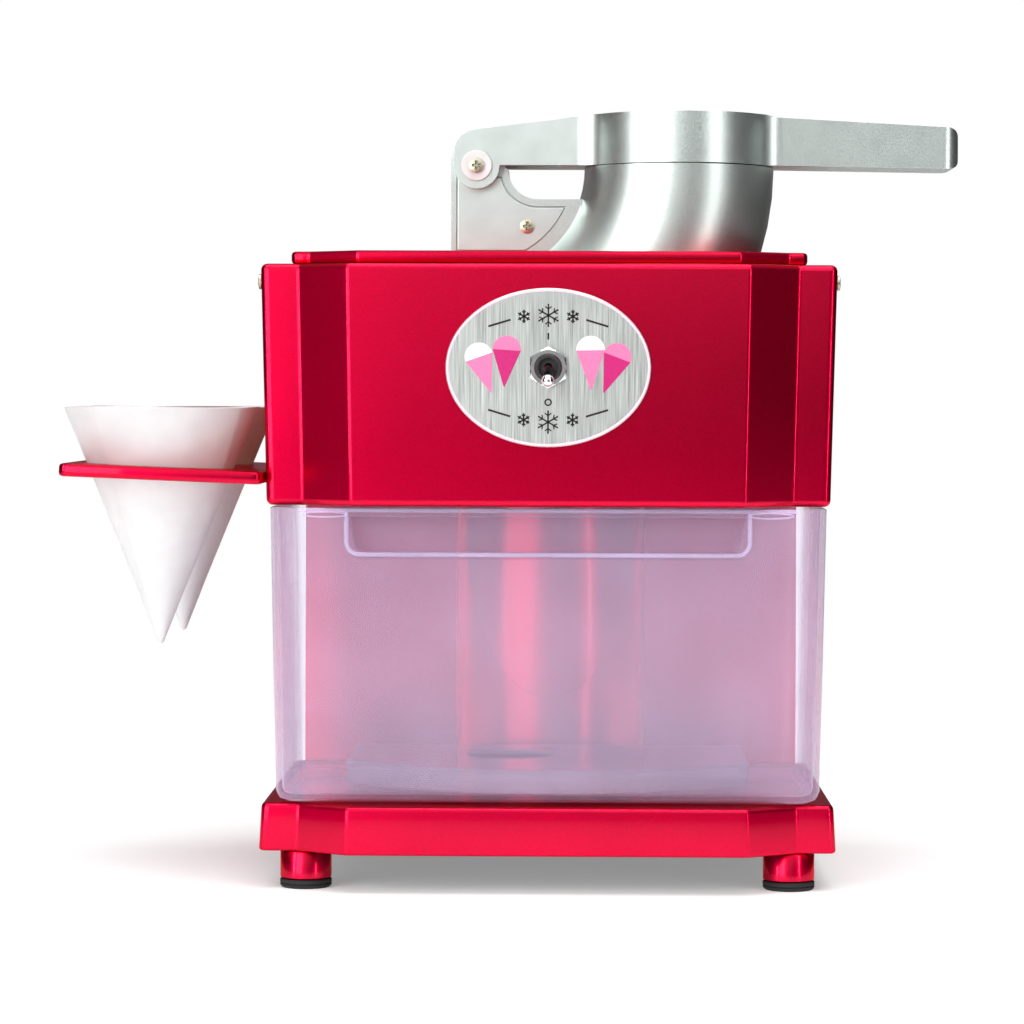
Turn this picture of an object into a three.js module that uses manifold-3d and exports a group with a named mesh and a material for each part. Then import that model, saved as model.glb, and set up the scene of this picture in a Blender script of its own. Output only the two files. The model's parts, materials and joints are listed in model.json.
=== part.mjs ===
// Shaved ice machine: a lever feeds ice through a cast elbow onto a spinning blade disc, and the
// shavings fall into a clear drawer. Millimetres, +X right, +Y back, +Z up, on its rubber feet.
import * as THREE from "three";
import { mergeVertices } from "three/addons/utils/BufferGeometryUtils.js";
import Module from "manifold-3d";

const wasm = await Module();
wasm.setup();

// ---------------------------------------------------------------- driving dimensions
const GAP = 0.3; // between pieces that touch
const RUNNING = 0.3; // radial clearance of a turning piece

// Body, seen from above, and its heights
const bodyWidth = 263;
const bodyDepth = 204;
const cornerFace = 17.2; // flat between each ramp and its corner
const rampWidth = 23.3; // each ramp from the raised front panel to the corner face
const frontPanelWidth = bodyWidth - 2 * (rampWidth + cornerFace);
const frontSetBack = 16; // corner face behind the front panel
const cornerRadius = 4;
const foldRadius = 3.5; // along the edges of the ramps
const rubberHeight = 4;
const postHeight = 13.5;
const baseHeight = 22;
const bayHeight = 135.5; // the drawer's bay between base and housing
const housingHeight = 110;
const tierHeight = 6;
const tierInset = 13;
const housingWall = 3;
const baseWall = 2.6;
const plateThick = 2.4; // the base's bottom plate
const housingDraft = 6; // how much wider the housing is at its top
const baseFlare = 2.4; // how much wider the base is at its foot

// Feet
const footRadius = 11.75;
const footX = bodyWidth / 2 - 21;
const footY = bodyDepth / 2 - 28;

// Back wall of the bay, with its half-round column and the deflector on it
const bayWall = 7.5;
const bayWallWidth = bodyWidth - 15;
const columnRadius = 47;
const columnWall = 3;
const deflectorThick = 2;
const deflectorLength = 98;
const deflectorHalfAngle = 68;

// Clear drawer
const binWidth = bodyWidth - 9;
const binDraft = 6;
const binWall = 3;
const binSetBack = 10; // behind the front panel
const binCorner = 13;
const binFootRound = 5;
const binTravelGap = 1.2; // behind the drawer and above it
const pullWidth = 180;
const pullHeight = 16;
const pullDepth = 10;
const pullBelowRim = 4;
const insertHeight = 11;
const insertWall = 2.2;
const insertWidth = binWidth - 66;
const insertCrown = 45; // how far its round front bulges
const insertClear = 14; // less deep than the drawer
const fingerHoleX = -18;
const fingerHoleRadius = 21;

// Cast elbow: the lever's pin is the centre of its bend
const pivotX = -35;
const pivotRise = 43.2; // above the top cover
const bendRadius = 96.5;
const pipeRadius = 45.2;
const pipeWall = 3.7;
const elbowSteps = 16;
const elbowSides = 36;

// Bracket on the elbow
const bracketHalf = 11; // half its thickness
const bracketLeft = 12.2; // left edge from the pin
const earRadius = 12.8;
const bracketNotch = 14; // radius of the notch under the lever
const notchRun = 29; // its middle from the pin
const notchDrop = 1.5;
const bracketRight = bendRadius - pipeRadius + 2.7; // right end from the pin, inside the pipe's wall
const bracketSlant = 20; // its foot is this much shorter
const coverThick = 1.8;
const coverDrop = 5.4; // top of the cover below the pin, behind the lever
const coverReach = 46; // round edge of the cover about the pin
const coverScrewX = 24.1;
const coverScrewDrop = 28.4;
const pinRadius = 4;
const screwHead = 3.5;

// Lever
const leverHalf = 18; // half its width
const cheek = 5.7;
const capRadius = pipeRadius - 0.9;
const leverFillet = 15;
const leverReach = 228.6; // pin to tip
const leverEnd = 10.9; // round end about the pin
const leverHeight = 24.3; // at the cap
const leverHeel = 18; // at the pin
const leverTip = 18.5; // above the pin, at the tip
const tipDroop = 1.2;
const plungerClear = 2.5;
const plungerAngle = 64; // bottom of the plunger arm, down from the mouth
const plungerArmWidth = 16;
const plungerHeadThick = 8;

// Blade disc, its shaft and the belt drive
const discRadius = pipeRadius + 0.8;
const discThick = 5;
const discGap = 1.8; // behind the elbow's outlet
const bladeCount = 3;
const bladeLength = discRadius - 17;
const bladeWidth = 6;
const bladeThick = 1.6;
const bladeProud = 0.8;
const bladeInner = 10;
const hubRadius = 12;
const hubLength = 10;
const shaftRadius = 5;
const bearingRadius = 12.7;
const bearingLength = 9;
const pulleyWidth = 8;
const drivenPulley = 38;
const motorPulley = 10;
const flange = 3;
const beltThick = 2;
const beltWidth = 5.4;

// Motor behind the elbow
const motorRadius = 22.5;
const motorLength = 60;
const motorWall = 2;
const motorY = bodyDepth / 2 - 28;
const motorDrop = 20; // its axis below the disc's axis
const motorX = 16; // middle of its can
const bellThick = 5.7;
const armatureRadius = 16;
const motorShaft = 3;
const fanRadius = 18;
const fanThick = 8;

// Discharge hood over the disc
const hoodWall = 3;
const hoodHalf = discRadius + 9;
const hoodDepth = 48; // left of the elbow's outlet
const throatFront = hoodHalf - 5;

// Front badge and toggle switch
const badgeWidth = 92.6;
const badgeHeight = 71.6;
const badgeThick = 1.2;
const badgeBelowTop = 47.2; // its middle below the housing's top
const bushingRadius = 6;
const bushingBore = 4.3;
const nutAcrossFlats = 16.5;
const nutThick = 2.6;
const bushingProud = 5.4; // in front of the panel
const batLength = 22;
const batTip = 2.8;
const batNeck = 1.6;
const batTilt = 18;
const batPivotProud = 1.5; // in front of the panel

// Cone holder and paper cones
const holderThick = 5.9;
const holderRise = 12.4; // middle of the plate above the housing's foot
const holderTilt = 2.2;
const holderGap = 0.6;
const tabWidth = 22;
const tabThick = 3.2;
const tabLength = 8;
const coneRimRadius = 46;
const coneGap = 2; // between the rims of the two cones
const coneHeight = 110.7;
const coneTipDrop = 78.4; // tip of the cones below the plate
const coneMiddle = -5; // the holder's middle, ahead of the body's
const coneY = [-1, 1].map((end) => coneMiddle + end * (coneRimRadius + coneGap / 2));
const coneX = -bodyWidth / 2 - coneRimRadius - 2.5;
const holderReach = 2 * coneRimRadius + 0.5;
const holderBack = coneY[1] + coneRimRadius + 4;
const holderFront = coneRimRadius - coneY[0];
const tabY = [coneY[0] - 10, coneY[1] + 14];
const coneWall = 0.8;
const coneSeat = 0.35;

// Back of the housing
const ventWidth = 90;
const ventHeight = 62;
const ventThick = 1.6;
const ventSlots = 6;
const glandRadius = 7;
const glandBore = 3.6;
const glandX = -70;
const glandProud = 6;

// Pan-head screws in the housing's sides
const sideScrewY = bodyDepth / 2 - 27;
const sideScrewDrop = 8; // below the housing's top
const sideScrewProud = 1.7;

const ROUND = 24; // facets of a large round
const SMALL = 12; // facets of a small one

// ---------------------------------------------------------------- levels and places from them
const rad = THREE.MathUtils.degToRad;
const baseZ = rubberHeight + postHeight;
const bayZ = baseZ + baseHeight;
const housingZ = bayZ + bayHeight;
const roofZ = housingZ + housingHeight;
const topZ = roofZ + tierHeight;
const ventBottom = housingZ + 25;
const glandHeight = housingZ + 17;
const holderHeight = housingZ + holderRise;
const coneTipHeight = holderHeight - coneTipDrop;
const pivotZ = topZ + pivotRise;
const discZ = pivotZ - bendRadius;
const mouthX = pivotX + bendRadius;
const front = -bodyDepth / 2;
const back = bodyDepth / 2;
const floorTop = housingZ + 1 + housingWall;
const bayWallFace = back - 1 - bayWall;
const binBack = bayWallFace - columnRadius - GAP - deflectorThick - binTravelGap;
const insertSpan = binBack - front - binSetBack - insertClear;
const insertSide = insertSpan - insertCrown;
const badgeZ = roofZ - badgeBelowTop;
const outletX = pivotX;
const discRight = outletX - discGap;
const hoodLeft = outletX - hoodDepth;
const hoodTop = topZ - 3.2;
const pulleyX = hoodLeft - 16;
const motorZ = discZ - motorDrop;

// Half width of the drafted housing at height z
function housingSide(z) {
  return bodyWidth / 2 - (housingDraft / 2) * ((roofZ - z) / housingHeight);
}

// ---------------------------------------------------------------- finishes
function finish(color, roughness, metalness) {
  return new THREE.MeshStandardMaterial({ color, roughness, metalness, flatShading: true });
}
const redPaint = finish(0xc00a30, 0.25, 0.5);
const castAluminium = finish(0xc4c8c8, 0.35, 1);
const brushedAluminium = finish(0xb9bbbd, 0.4, 1);
const chrome = finish(0xe0e2e4, 0.1, 1);
const steel = finish(0xb4b6b8, 0.3, 1);
const rubber = finish(0x161616, 0.85, 0);
const blackPlastic = finish(0x1e1e20, 0.5, 0);
const greyPlastic = finish(0xb8babc, 0.5, 0);
const clearPlastic = finish(0xe4e8ea, 0.08, 0);
const whitePaper = finish(0xf3f3f1, 0.8, 0);
const copperWinding = finish(0x7a4a2c, 0.5, 0.6);
const bronze = finish(0xa8814a, 0.4, 0.9);

// ---------------------------------------------------------------- solids
function solid(geometry) {
  const bare = geometry.index ? geometry.toNonIndexed() : geometry;
  bare.deleteAttribute("normal");
  bare.deleteAttribute("uv");
  const merged = mergeVertices(bare, 1e-4);
  const vertProperties = merged.attributes.position.array;
  const triVerts = new Uint32Array(merged.index.array);
  return new wasm.Manifold(new wasm.Mesh({ numProp: 3, vertProperties, triVerts }));
}

function join(first, ...others) {
  return others.reduce((all, one) => all.add(one), first);
}

function cut(first, ...others) {
  return others.reduce((all, one) => all.subtract(one), first);
}

function box(x0, x1, y0, y1, z0, z1) {
  const g = new THREE.BoxGeometry(x1 - x0, y1 - y0, z1 - z0);
  return solid(g.translate((x0 + x1) / 2, (y0 + y1) / 2, (z0 + z1) / 2));
}

// A cylinder along an axis; centre holds the other two coordinates in x, y, z order.
function cylinder(axis, radius, from, to, [u, v], facets = ROUND) {
  const g = new THREE.CylinderGeometry(radius, radius, to - from, facets);
  const middle = (from + to) / 2;
  if (axis === "x") return solid(g.rotateZ(-Math.PI / 2).translate(middle, u, v));
  if (axis === "y") return solid(g.translate(u, middle, v));
  return solid(g.rotateX(Math.PI / 2).translate(u, v, middle));
}

function ring(axis, outer, inner, from, to, centre, facets = ROUND) {
  const body = cylinder(axis, outer, from, to, centre, facets);
  return cut(body, cylinder(axis, inner, from - 1, to + 1, centre, facets));
}

const X = new THREE.Vector3(1, 0, 0);
const Y = new THREE.Vector3(0, 1, 0);
const Z = new THREE.Vector3(0, 0, 1);

function extrude(shape, depth, steps = 4, bevel = 0) {
  return new THREE.ExtrudeGeometry(shape, {
    depth: depth - 2 * bevel,
    curveSegments: steps,
    bevelEnabled: bevel > 0,
    bevelSize: bevel,
    bevelThickness: bevel,
    bevelOffset: -bevel,
    bevelSegments: 2,
  }).translate(0, 0, bevel);
}

// Outline in (y, z), carried along X
function alongX(shape, x0, x1, steps) {
  const basis = new THREE.Matrix4().makeBasis(Y, Z, X);
  return solid(extrude(shape, x1 - x0, steps).applyMatrix4(basis).translate(x0, 0, 0));
}

// Outline in (x, z), carried along Y
function alongY(shape, y0, y1, steps) {
  const basis = new THREE.Matrix4().makeBasis(X, Z, Y.clone().negate());
  return solid(extrude(shape, y1 - y0, steps).applyMatrix4(basis).translate(0, y1, 0));
}

// Outline in (x, y), carried along Z; widthAt gives the width factor at a height
function alongZ(shape, z0, z1, { steps = 3, bevel = 0, widthAt = null } = {}) {
  const g = extrude(shape, z1 - z0, steps, bevel).translate(0, 0, z0);
  if (widthAt) {
    const p = g.attributes.position;
    for (let i = 0; i < p.count; i++) p.setX(i, p.getX(i) * widthAt(p.getZ(i)));
  }
  return solid(g);
}

// A closed profile of [radius, along] points, turned about an axis through centre
function turned(axis, points, [cx, cy, cz], facets = ROUND) {
  const profile = points.map(([r, a]) => new THREE.Vector2(r, a));
  const g = new THREE.LatheGeometry(profile, facets);
  if (axis === "x") g.rotateZ(-Math.PI / 2);
  if (axis === "z") g.rotateX(Math.PI / 2);
  return solid(g.translate(cx, cy, cz));
}

// Corners given as [x, y, radius], each rounded by a curve between its two sides
function roundedOutline(corners) {
  const shape = new THREE.Shape();
  const at = (i) => new THREE.Vector2(...corners[(i + corners.length) % corners.length]);
  corners.forEach(([, , radius], i) => {
    const corner = at(i);
    const before = at(i - 1).sub(corner).normalize();
    const after = at(i + 1).sub(corner).normalize();
    const half = Math.acos(before.dot(after)) / 2;
    const reach = radius / Math.tan(half);
    const start = corner.clone().addScaledVector(before, reach);
    const end = corner.clone().addScaledVector(after, reach);
    if (i === 0) shape.moveTo(start.x, start.y);
    else shape.lineTo(start.x, start.y);
    if (radius > 0) shape.quadraticCurveTo(corner.x, corner.y, end.x, end.y);
  });
  return shape;
}

function rectangle(x0, x1, y0, y1, radius = 0) {
  return roundedOutline([
    [x0, y0, radius],
    [x1, y0, radius],
    [x1, y1, radius],
    [x0, y1, radius],
  ]);
}

// The body's plan: raised front panel, a ramp down to each corner face, round corners
function bodyOutline(inset, round = Math.max(cornerRadius - inset, 1)) {
  const slope = Math.atan2(frontSetBack, rampWidth);
  const shift = inset * Math.tan(slope / 2);
  const side = bodyWidth / 2 - inset;
  const panel = frontPanelWidth / 2 - shift;
  const ramp = frontPanelWidth / 2 + rampWidth - shift;
  const face = front + inset + frontSetBack;
  return roundedOutline([
    [-panel, front + inset, foldRadius],
    [panel, front + inset, foldRadius],
    [ramp, face, foldRadius],
    [side, face, round],
    [side, back - inset, round],
    [-side, back - inset, round],
    [-side, face, round],
    [-ramp, face, foldRadius],
  ]);
}

// ---------------------------------------------------------------- the assembly
const machine = new THREE.Group();

function piece(name, body, material, parent = machine) {
  const made = body.getMesh();
  const g = new THREE.BufferGeometry();
  g.setAttribute("position", new THREE.BufferAttribute(made.vertProperties, 3));
  g.setIndex(new THREE.BufferAttribute(made.triVerts, 1));
  const mesh = new THREE.Mesh(g, material);
  mesh.name = name;
  parent.add(mesh);
  return mesh;
}

// ---- base and feet
function makeBase() {
  const widthAt = (z) => 1 - (baseFlare / bodyWidth) * ((z - baseZ) / baseHeight);
  const outer = alongZ(bodyOutline(0), baseZ, bayZ, { bevel: 2, widthAt });
  const inner = alongZ(bodyOutline(baseWall), baseZ - 1, bayZ - baseWall, { widthAt });
  piece("base_shell", cut(outer, inner), redPaint);
  const plate = bodyOutline(baseWall + baseFlare);
  piece("base_bottom_plate", alongZ(plate, baseZ, baseZ + plateThick), blackPlastic);
  for (const [end, y] of [["front", -footY], ["rear", footY]]) {
    for (const [side, x] of [["left", -footX], ["right", footX]]) {
      const post = cylinder("z", footRadius, rubberHeight + GAP, baseZ - GAP, [x, y]);
      piece(`foot_post_${end}_${side}`, post, redPaint);
      const pad = cylinder("z", footRadius + 0.1, 0, rubberHeight, [x, y]);
      piece(`rubber_foot_${end}_${side}`, pad, rubber);
    }
  }
}

// ---- back wall of the bay
function makeBayWall() {
  const z0 = bayZ + GAP;
  const z1 = housingZ - GAP;
  const wall = box(-bayWallWidth / 2, bayWallWidth / 2, bayWallFace, back - 1, z0, z1);
  const centre = [0, bayWallFace];
  const tube = ring("z", columnRadius, columnRadius - columnWall, z0, z1, centre, 40);
  const behind = box(-99, 99, bayWallFace + 1, back + 99, z0 - 1, z1 + 1);
  piece("rear_casing", join(wall, cut(tube, behind)), redPaint);

  const inner = columnRadius + GAP;
  const outer = inner + deflectorThick;
  const top = housingZ - GAP - 0.5;
  const shell = ring("z", outer, inner, top - deflectorLength, top, centre, 40);
  const halfWidth = outer * Math.sin(rad(deflectorHalfAngle));
  const tongue = new THREE.Shape();
  tongue.moveTo(-halfWidth, top + 1);
  tongue.lineTo(-halfWidth, top - deflectorLength * 0.1);
  tongue.bezierCurveTo(
    -halfWidth * 0.8, top - deflectorLength * 0.75,
    -halfWidth * 0.45, top - deflectorLength,
    0, top - deflectorLength,
  );
  tongue.bezierCurveTo(
    halfWidth * 0.45, top - deflectorLength,
    halfWidth * 0.8, top - deflectorLength * 0.75,
    halfWidth, top - deflectorLength * 0.1,
  );
  tongue.lineTo(halfWidth, top + 1);
  const stencil = alongY(tongue, bayWallFace - outer - 5, bayWallFace - 5, 8);
  piece("ice_deflector", shell.intersect(stencil), redPaint);
}

// ---- clear drawer and its raised floor
function makeDrawer() {
  const z0 = bayZ + 0.8;
  const z1 = housingZ - 1;
  const y0 = front + binSetBack;
  const widthAt = (z) => 1 - (binDraft / binWidth) * ((z1 - z) / (z1 - z0));
  const half = binWidth / 2;
  const shell = (inset, bottom, round) => {
    const plan = rectangle(-half + inset, half - inset, y0 + inset, binBack - inset, binCorner - inset);
    return alongZ(plan, bottom, z1 + 20, { steps: 5, bevel: round, widthAt });
  };
  const trim = box(-half - 9, half + 9, y0 - 9, binBack + 9, z1, z1 + 40);
  const rimZ = z1 - pullBelowRim;
  const pull = (grow, top) => {
    const w = pullWidth / 2 + grow;
    const foot = rimZ - pullHeight - grow;
    return roundedOutline([
      [-w + 3, foot, 5],
      [w - 3, foot, 5],
      [w, top, 0],
      [-w, top, 0],
    ]);
  };
  const outside = shell(0, z0, binFootRound);
  const inside = shell(binWall, z0 + binWall, binFootRound - 2);
  const bulge = alongY(pull(binWall, z1 - 1), y0, y0 + pullDepth + binWall, 4);
  const recess = alongY(pull(0, rimZ), y0 - 5, y0 + pullDepth, 4);
  const tub = cut(outside, trim, cut(inside, bulge), recess);
  piece("clear_bin", tub, clearPlastic);

  const foot = z0 + binWall + GAP;
  const backEdge = binBack - binWall - binFootRound + 1;
  const insert = (inset) => {
    const w = insertWidth / 2 - inset;
    const y2 = backEdge - inset;
    const y1 = backEdge - insertSide;
    const sagitta = insertSpan - insertSide - inset;
    const r = (w * w + sagitta * sagitta) / (2 * sagitta);
    const spread = Math.asin(w / r);
    const plan = new THREE.Shape();
    plan.moveTo(w, y1);
    plan.lineTo(w, y2);
    plan.lineTo(-w, y2);
    plan.lineTo(-w, y1);
    plan.absarc(0, y1 - sagitta + r, r, -Math.PI / 2 - spread, -Math.PI / 2 + spread, false);
    return plan;
  };
  const block = alongZ(insert(0), foot, foot + insertHeight, { steps: 10 });
  const hollow = alongZ(insert(insertWall), foot - 1, foot + insertHeight - insertWall, { steps: 10 });
  const holeY = backEdge - insertSpan * 0.38;
  const hole = cylinder("z", fingerHoleRadius, foot - 2, foot + insertHeight + 2, [fingerHoleX, holeY]);
  piece("bin_insert", cut(block, hollow, hole), clearPlastic);
}

// ---- housing, its floor and the top cover
function makeHousing() {
  const widthAt = (z) => housingSide(z) / (bodyWidth / 2);
  const outer = alongZ(bodyOutline(0), housingZ, roofZ, { bevel: 3, widthAt });
  const inner = alongZ(bodyOutline(housingWall), housingZ - 1, roofZ - housingWall, { widthAt });
  const roofHole = box(hoodLeft - 4, mouthX + pipeRadius + 4, -hoodHalf - 4, hoodHalf + 4,
    roofZ - 9, roofZ + 9);
  const switchHole = cylinder("y", bushingRadius + GAP, front - 2, front + 9, [0, badgeZ], SMALL);
  const ventHole = box(-ventWidth / 2 + 5, ventWidth / 2 - 5, back - 9, back + 9,
    ventBottom + 5, ventBottom + ventHeight - 5);
  const glandHole = cylinder("y", glandRadius - 2, back - 9, back + 9, [glandX, glandHeight], SMALL);
  const slots = tabY.map((y) => box(-bodyWidth, -bodyWidth / 2 + 9, y - tabWidth / 2 - 1,
    y + tabWidth / 2 + 1, holderHeight - tabThick / 2 - 0.6, holderHeight + tabThick / 2 + 0.6));
  const screwZ = roofZ - sideScrewDrop;
  const screwHoles = [-sideScrewY, sideScrewY].map((y) =>
    cylinder("x", 2.1, -bodyWidth, bodyWidth, [y, screwZ], SMALL));
  const shell = cut(outer, inner, roofHole, switchHole, ventHole, glandHole, ...slots, ...screwHoles);
  piece("housing_shell", shell, redPaint);

  const plan = bodyOutline(housingWall + housingDraft / 2 + 0.5);
  const throat = box(hoodLeft + hoodWall, discRight - discThick - 1.7, -throatFront,
    binBack - binWall - 2, housingZ - 5, floorTop + 5);
  const plate = alongZ(plan, housingZ + 1, floorTop);
  piece("housing_floor", cut(plate, throat), blackPlastic);

  const cover = alongZ(bodyOutline(tierInset, cornerRadius), roofZ + GAP, topZ, { bevel: 1.5 });
  const under = alongZ(bodyOutline(tierInset + 2.5), roofZ - 1, topZ - 2.6);
  piece("top_cover", cut(cover, under, elbowSolid(pipeRadius + 0.6, -3, 93)), redPaint);

  const sides = [["left", -1], ["right", 1]];
  const ends = [["front", -sideScrewY], ["rear", sideScrewY]];
  for (const [side, sign] of sides) {
    for (const [end, y] of ends) {
      const face = housingSide(screwZ) + GAP;
      const span = sign > 0 ? [face, face + sideScrewProud] : [-face - sideScrewProud, -face];
      const shank = sign > 0 ? [face - 7, face + 1] : [-face - 1, -face + 7];
      const head = cylinder("x", screwHead, ...span, [y, screwZ], SMALL);
      const body = join(head, cylinder("x", 1.8, ...shank, [y, screwZ], SMALL));
      piece(`side_screw_${end}_${side}`, body, steel);
    }
  }
}

// ---- vents and cord gland on the back
function makeRearFittings() {
  const y0 = back + GAP;
  const plate = box(-ventWidth / 2, ventWidth / 2, y0, y0 + ventThick, ventBottom, ventBottom + ventHeight);
  const pitch = (ventHeight - 12) / ventSlots;
  const slots = Array.from({ length: ventSlots }, (_, i) => {
    const z = ventBottom + 6 + pitch * (i + 0.5);
    return box(-ventWidth / 2 + 9, ventWidth / 2 - 9, y0 - 5, y0 + 9, z - 2.1, z + 2.1);
  });
  piece("rear_vent_cover", cut(plate, ...slots), blackPlastic);
  const at = [glandX, glandHeight];
  const collar = cylinder("y", glandRadius, y0, y0 + glandProud, at, 24);
  const neck = cylinder("y", glandRadius - 2 - GAP, back - housingWall - 2, y0 + 1, at, SMALL);
  const bore = cylinder("y", glandBore, back - 20, back + 20, at, SMALL);
  piece("cord_gland", cut(join(collar, neck), bore), blackPlastic);
}

// ---- badge and toggle switch
function makeControls() {
  const oval = new THREE.Shape();
  oval.absellipse(0, badgeZ, badgeWidth / 2, badgeHeight / 2, 0, 2 * Math.PI);
  const plate = alongY(oval, front - GAP - badgeThick, front - GAP, 24);
  const hole = cylinder("y", bushingRadius + GAP, front - 9, front + 9, [0, badgeZ], 24);
  piece("badge_plate", cut(plate, hole), brushedAluminium);

  const at = [0, badgeZ];
  const inside = front + housingWall;
  const tip = front - bushingProud;
  piece("toggle_case", box(-9, 9, inside + GAP, inside + 22, badgeZ - 13, badgeZ + 13), blackPlastic);
  piece("toggle_bushing", ring("y", bushingRadius, bushingBore, tip, inside, at, 24), chrome);
  const face = front - GAP - badgeThick - GAP;
  const nut = cylinder("y", nutAcrossFlats / Math.sqrt(3), face - nutThick, face, at, 6);
  const bore = cylinder("y", bushingRadius + GAP, face - 9, face + 9, at, 24);
  piece("toggle_nut", cut(nut, bore), chrome);

  const profile = [[0, -2], [batNeck, -1.4], [batNeck, 6], [batTip * 0.86, batLength - 2 * batTip]];
  for (let i = 1; i <= 5; i++) {
    const a = rad(-35 + 25 * i);
    profile.push([Math.max(batTip * Math.cos(a), 0), batLength - batTip + batTip * Math.sin(a)]);
  }
  profile[profile.length - 1][0] = 0;
  profile[profile.length - 1][1] = batLength;
  const bat = piece("toggle_bat", turned("y", profile, [0, 0, 0], SMALL), chrome);
  bat.position.set(0, front - batPivotProud, badgeZ);
  bat.rotation.x = Math.PI + rad(batTilt);
}

// ---- the elbow: a circle carried on an arc about the pin, angles down from the mouth
class BendCurve extends THREE.Curve {
  constructor(from, to) {
    super();
    this.from = rad(from);
    this.to = rad(to);
  }

  getPoint(t, target = new THREE.Vector3()) {
    const a = this.from + (this.to - this.from) * t;
    return target.set(pivotX + bendRadius * Math.cos(a), 0, pivotZ - bendRadius * Math.sin(a));
  }
}

function elbowSolid(radius, from, to) {
  const section = new THREE.Shape();
  section.absarc(0, 0, radius, 0, 2 * Math.PI);
  const extrudePath = new BendCurve(from, to);
  const options = { steps: elbowSteps, curveSegments: elbowSides / 2, bevelEnabled: false, extrudePath };
  return solid(new THREE.ExtrudeGeometry(section, options));
}

function makeFeedChute() {
  const pipe = elbowSolid(pipeRadius, 0.17, 90);
  const bore = elbowSolid(pipeRadius - pipeWall, -4, 94);
  const left = pivotX - bracketLeft;
  const foot = topZ + GAP;
  const notchX = pivotX + notchRun;
  const notchZ = pivotZ - notchDrop;
  const plan = new THREE.Shape();
  plan.moveTo(left, foot);
  plan.lineTo(pivotX + bracketRight - bracketSlant, foot);
  plan.lineTo(pivotX + bracketRight, notchZ - bracketNotch);
  plan.lineTo(notchX, notchZ - bracketNotch);
  plan.absarc(notchX, notchZ, bracketNotch, -Math.PI / 2, -Math.PI, true);
  plan.absarc(pivotX, pivotZ, earRadius, 0, Math.PI - 0.3, false);
  const web = alongY(plan, -bracketHalf, bracketHalf, 8);
  const pocket = alongY(coverOutline(1.5), -bracketHalf - 1, bracketHalf - 5, 8);
  const seat = alongY(coverOutline(-GAP * 2), -bracketHalf - 1, -bracketHalf + coverThick + GAP, 8);
  const pinHole = cylinder("y", pinRadius + RUNNING, -20, 20, [pivotX, pivotZ], 24);
  const casting = cut(join(pipe, web), bore, seat, pocket, pinHole);
  piece("feed_chute", casting, castAluminium);
}

// The cover's outline in (x, z): beside the notch, and round about the pin on the right
function coverOutline(inset) {
  const left = pivotX - bracketLeft + 3 + inset;
  const foot = topZ + GAP + 3 + inset;
  const reach = coverReach - inset;
  const top = pivotZ - coverDrop - inset;
  const notchX = pivotX + notchRun;
  const notchZ = pivotZ - notchDrop;
  const r = bracketNotch + 4 + inset;
  const shelf = notchZ - r;
  const shape = new THREE.Shape();
  shape.moveTo(left, top);
  shape.lineTo(left, foot);
  const low = Math.asin((pivotZ - foot) / reach);
  const high = Math.asin((pivotZ - shelf) / reach);
  shape.absarc(pivotX, pivotZ, reach, -low, -high, false);
  const from = Math.acos((notchZ - top) / r);
  shape.absarc(notchX, notchZ, r, -Math.PI / 2, -Math.PI / 2 - from, true);
  return shape;
}

function makeBracketFittings() {
  const y0 = -bracketHalf;
  const screwAt = [pivotX + coverScrewX, pivotZ - coverScrewDrop];
  const plate = alongY(coverOutline(0), y0, y0 + coverThick, 8);
  const hole = cylinder("y", 2.1, y0 - 9, y0 + 9, screwAt, SMALL);
  piece("bracket_cover", cut(plate, hole), castAluminium);
  const head = cylinder("y", screwHead, y0 - GAP - 1, y0 - GAP, screwAt, SMALL);
  const shank = cylinder("y", 1.8, y0 - GAP - 0.5, y0 + 9, screwAt, SMALL);
  piece("bracket_screw", join(head, shank), steel);
  const x0 = pivotX - 6;
  const z0 = topZ + 8;
  piece("interlock_switch", box(x0, x0 + 20, y0 + 4, y0 + 10.5, z0, z0 + 10.5), blackPlastic);

  const at = [pivotX, pivotZ];
  const face = -leverHalf - GAP;
  piece("pivot_pin", cylinder("y", pinRadius, -leverHalf + 0.4, leverHalf, at, 24), steel);
  piece("pivot_washer", ring("y", 7.2, 2.2, face - 1.3, face, at, 32), greyPlastic);
  const top = face - 1.3 - GAP;
  const cap = cylinder("y", screwHead, top - 1.6, top, at, SMALL);
  const stem = cylinder("y", 1.8, top - 1, -leverHalf + 0.1, at, SMALL);
  piece("pivot_screw", join(cap, stem), steel);
}

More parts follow.
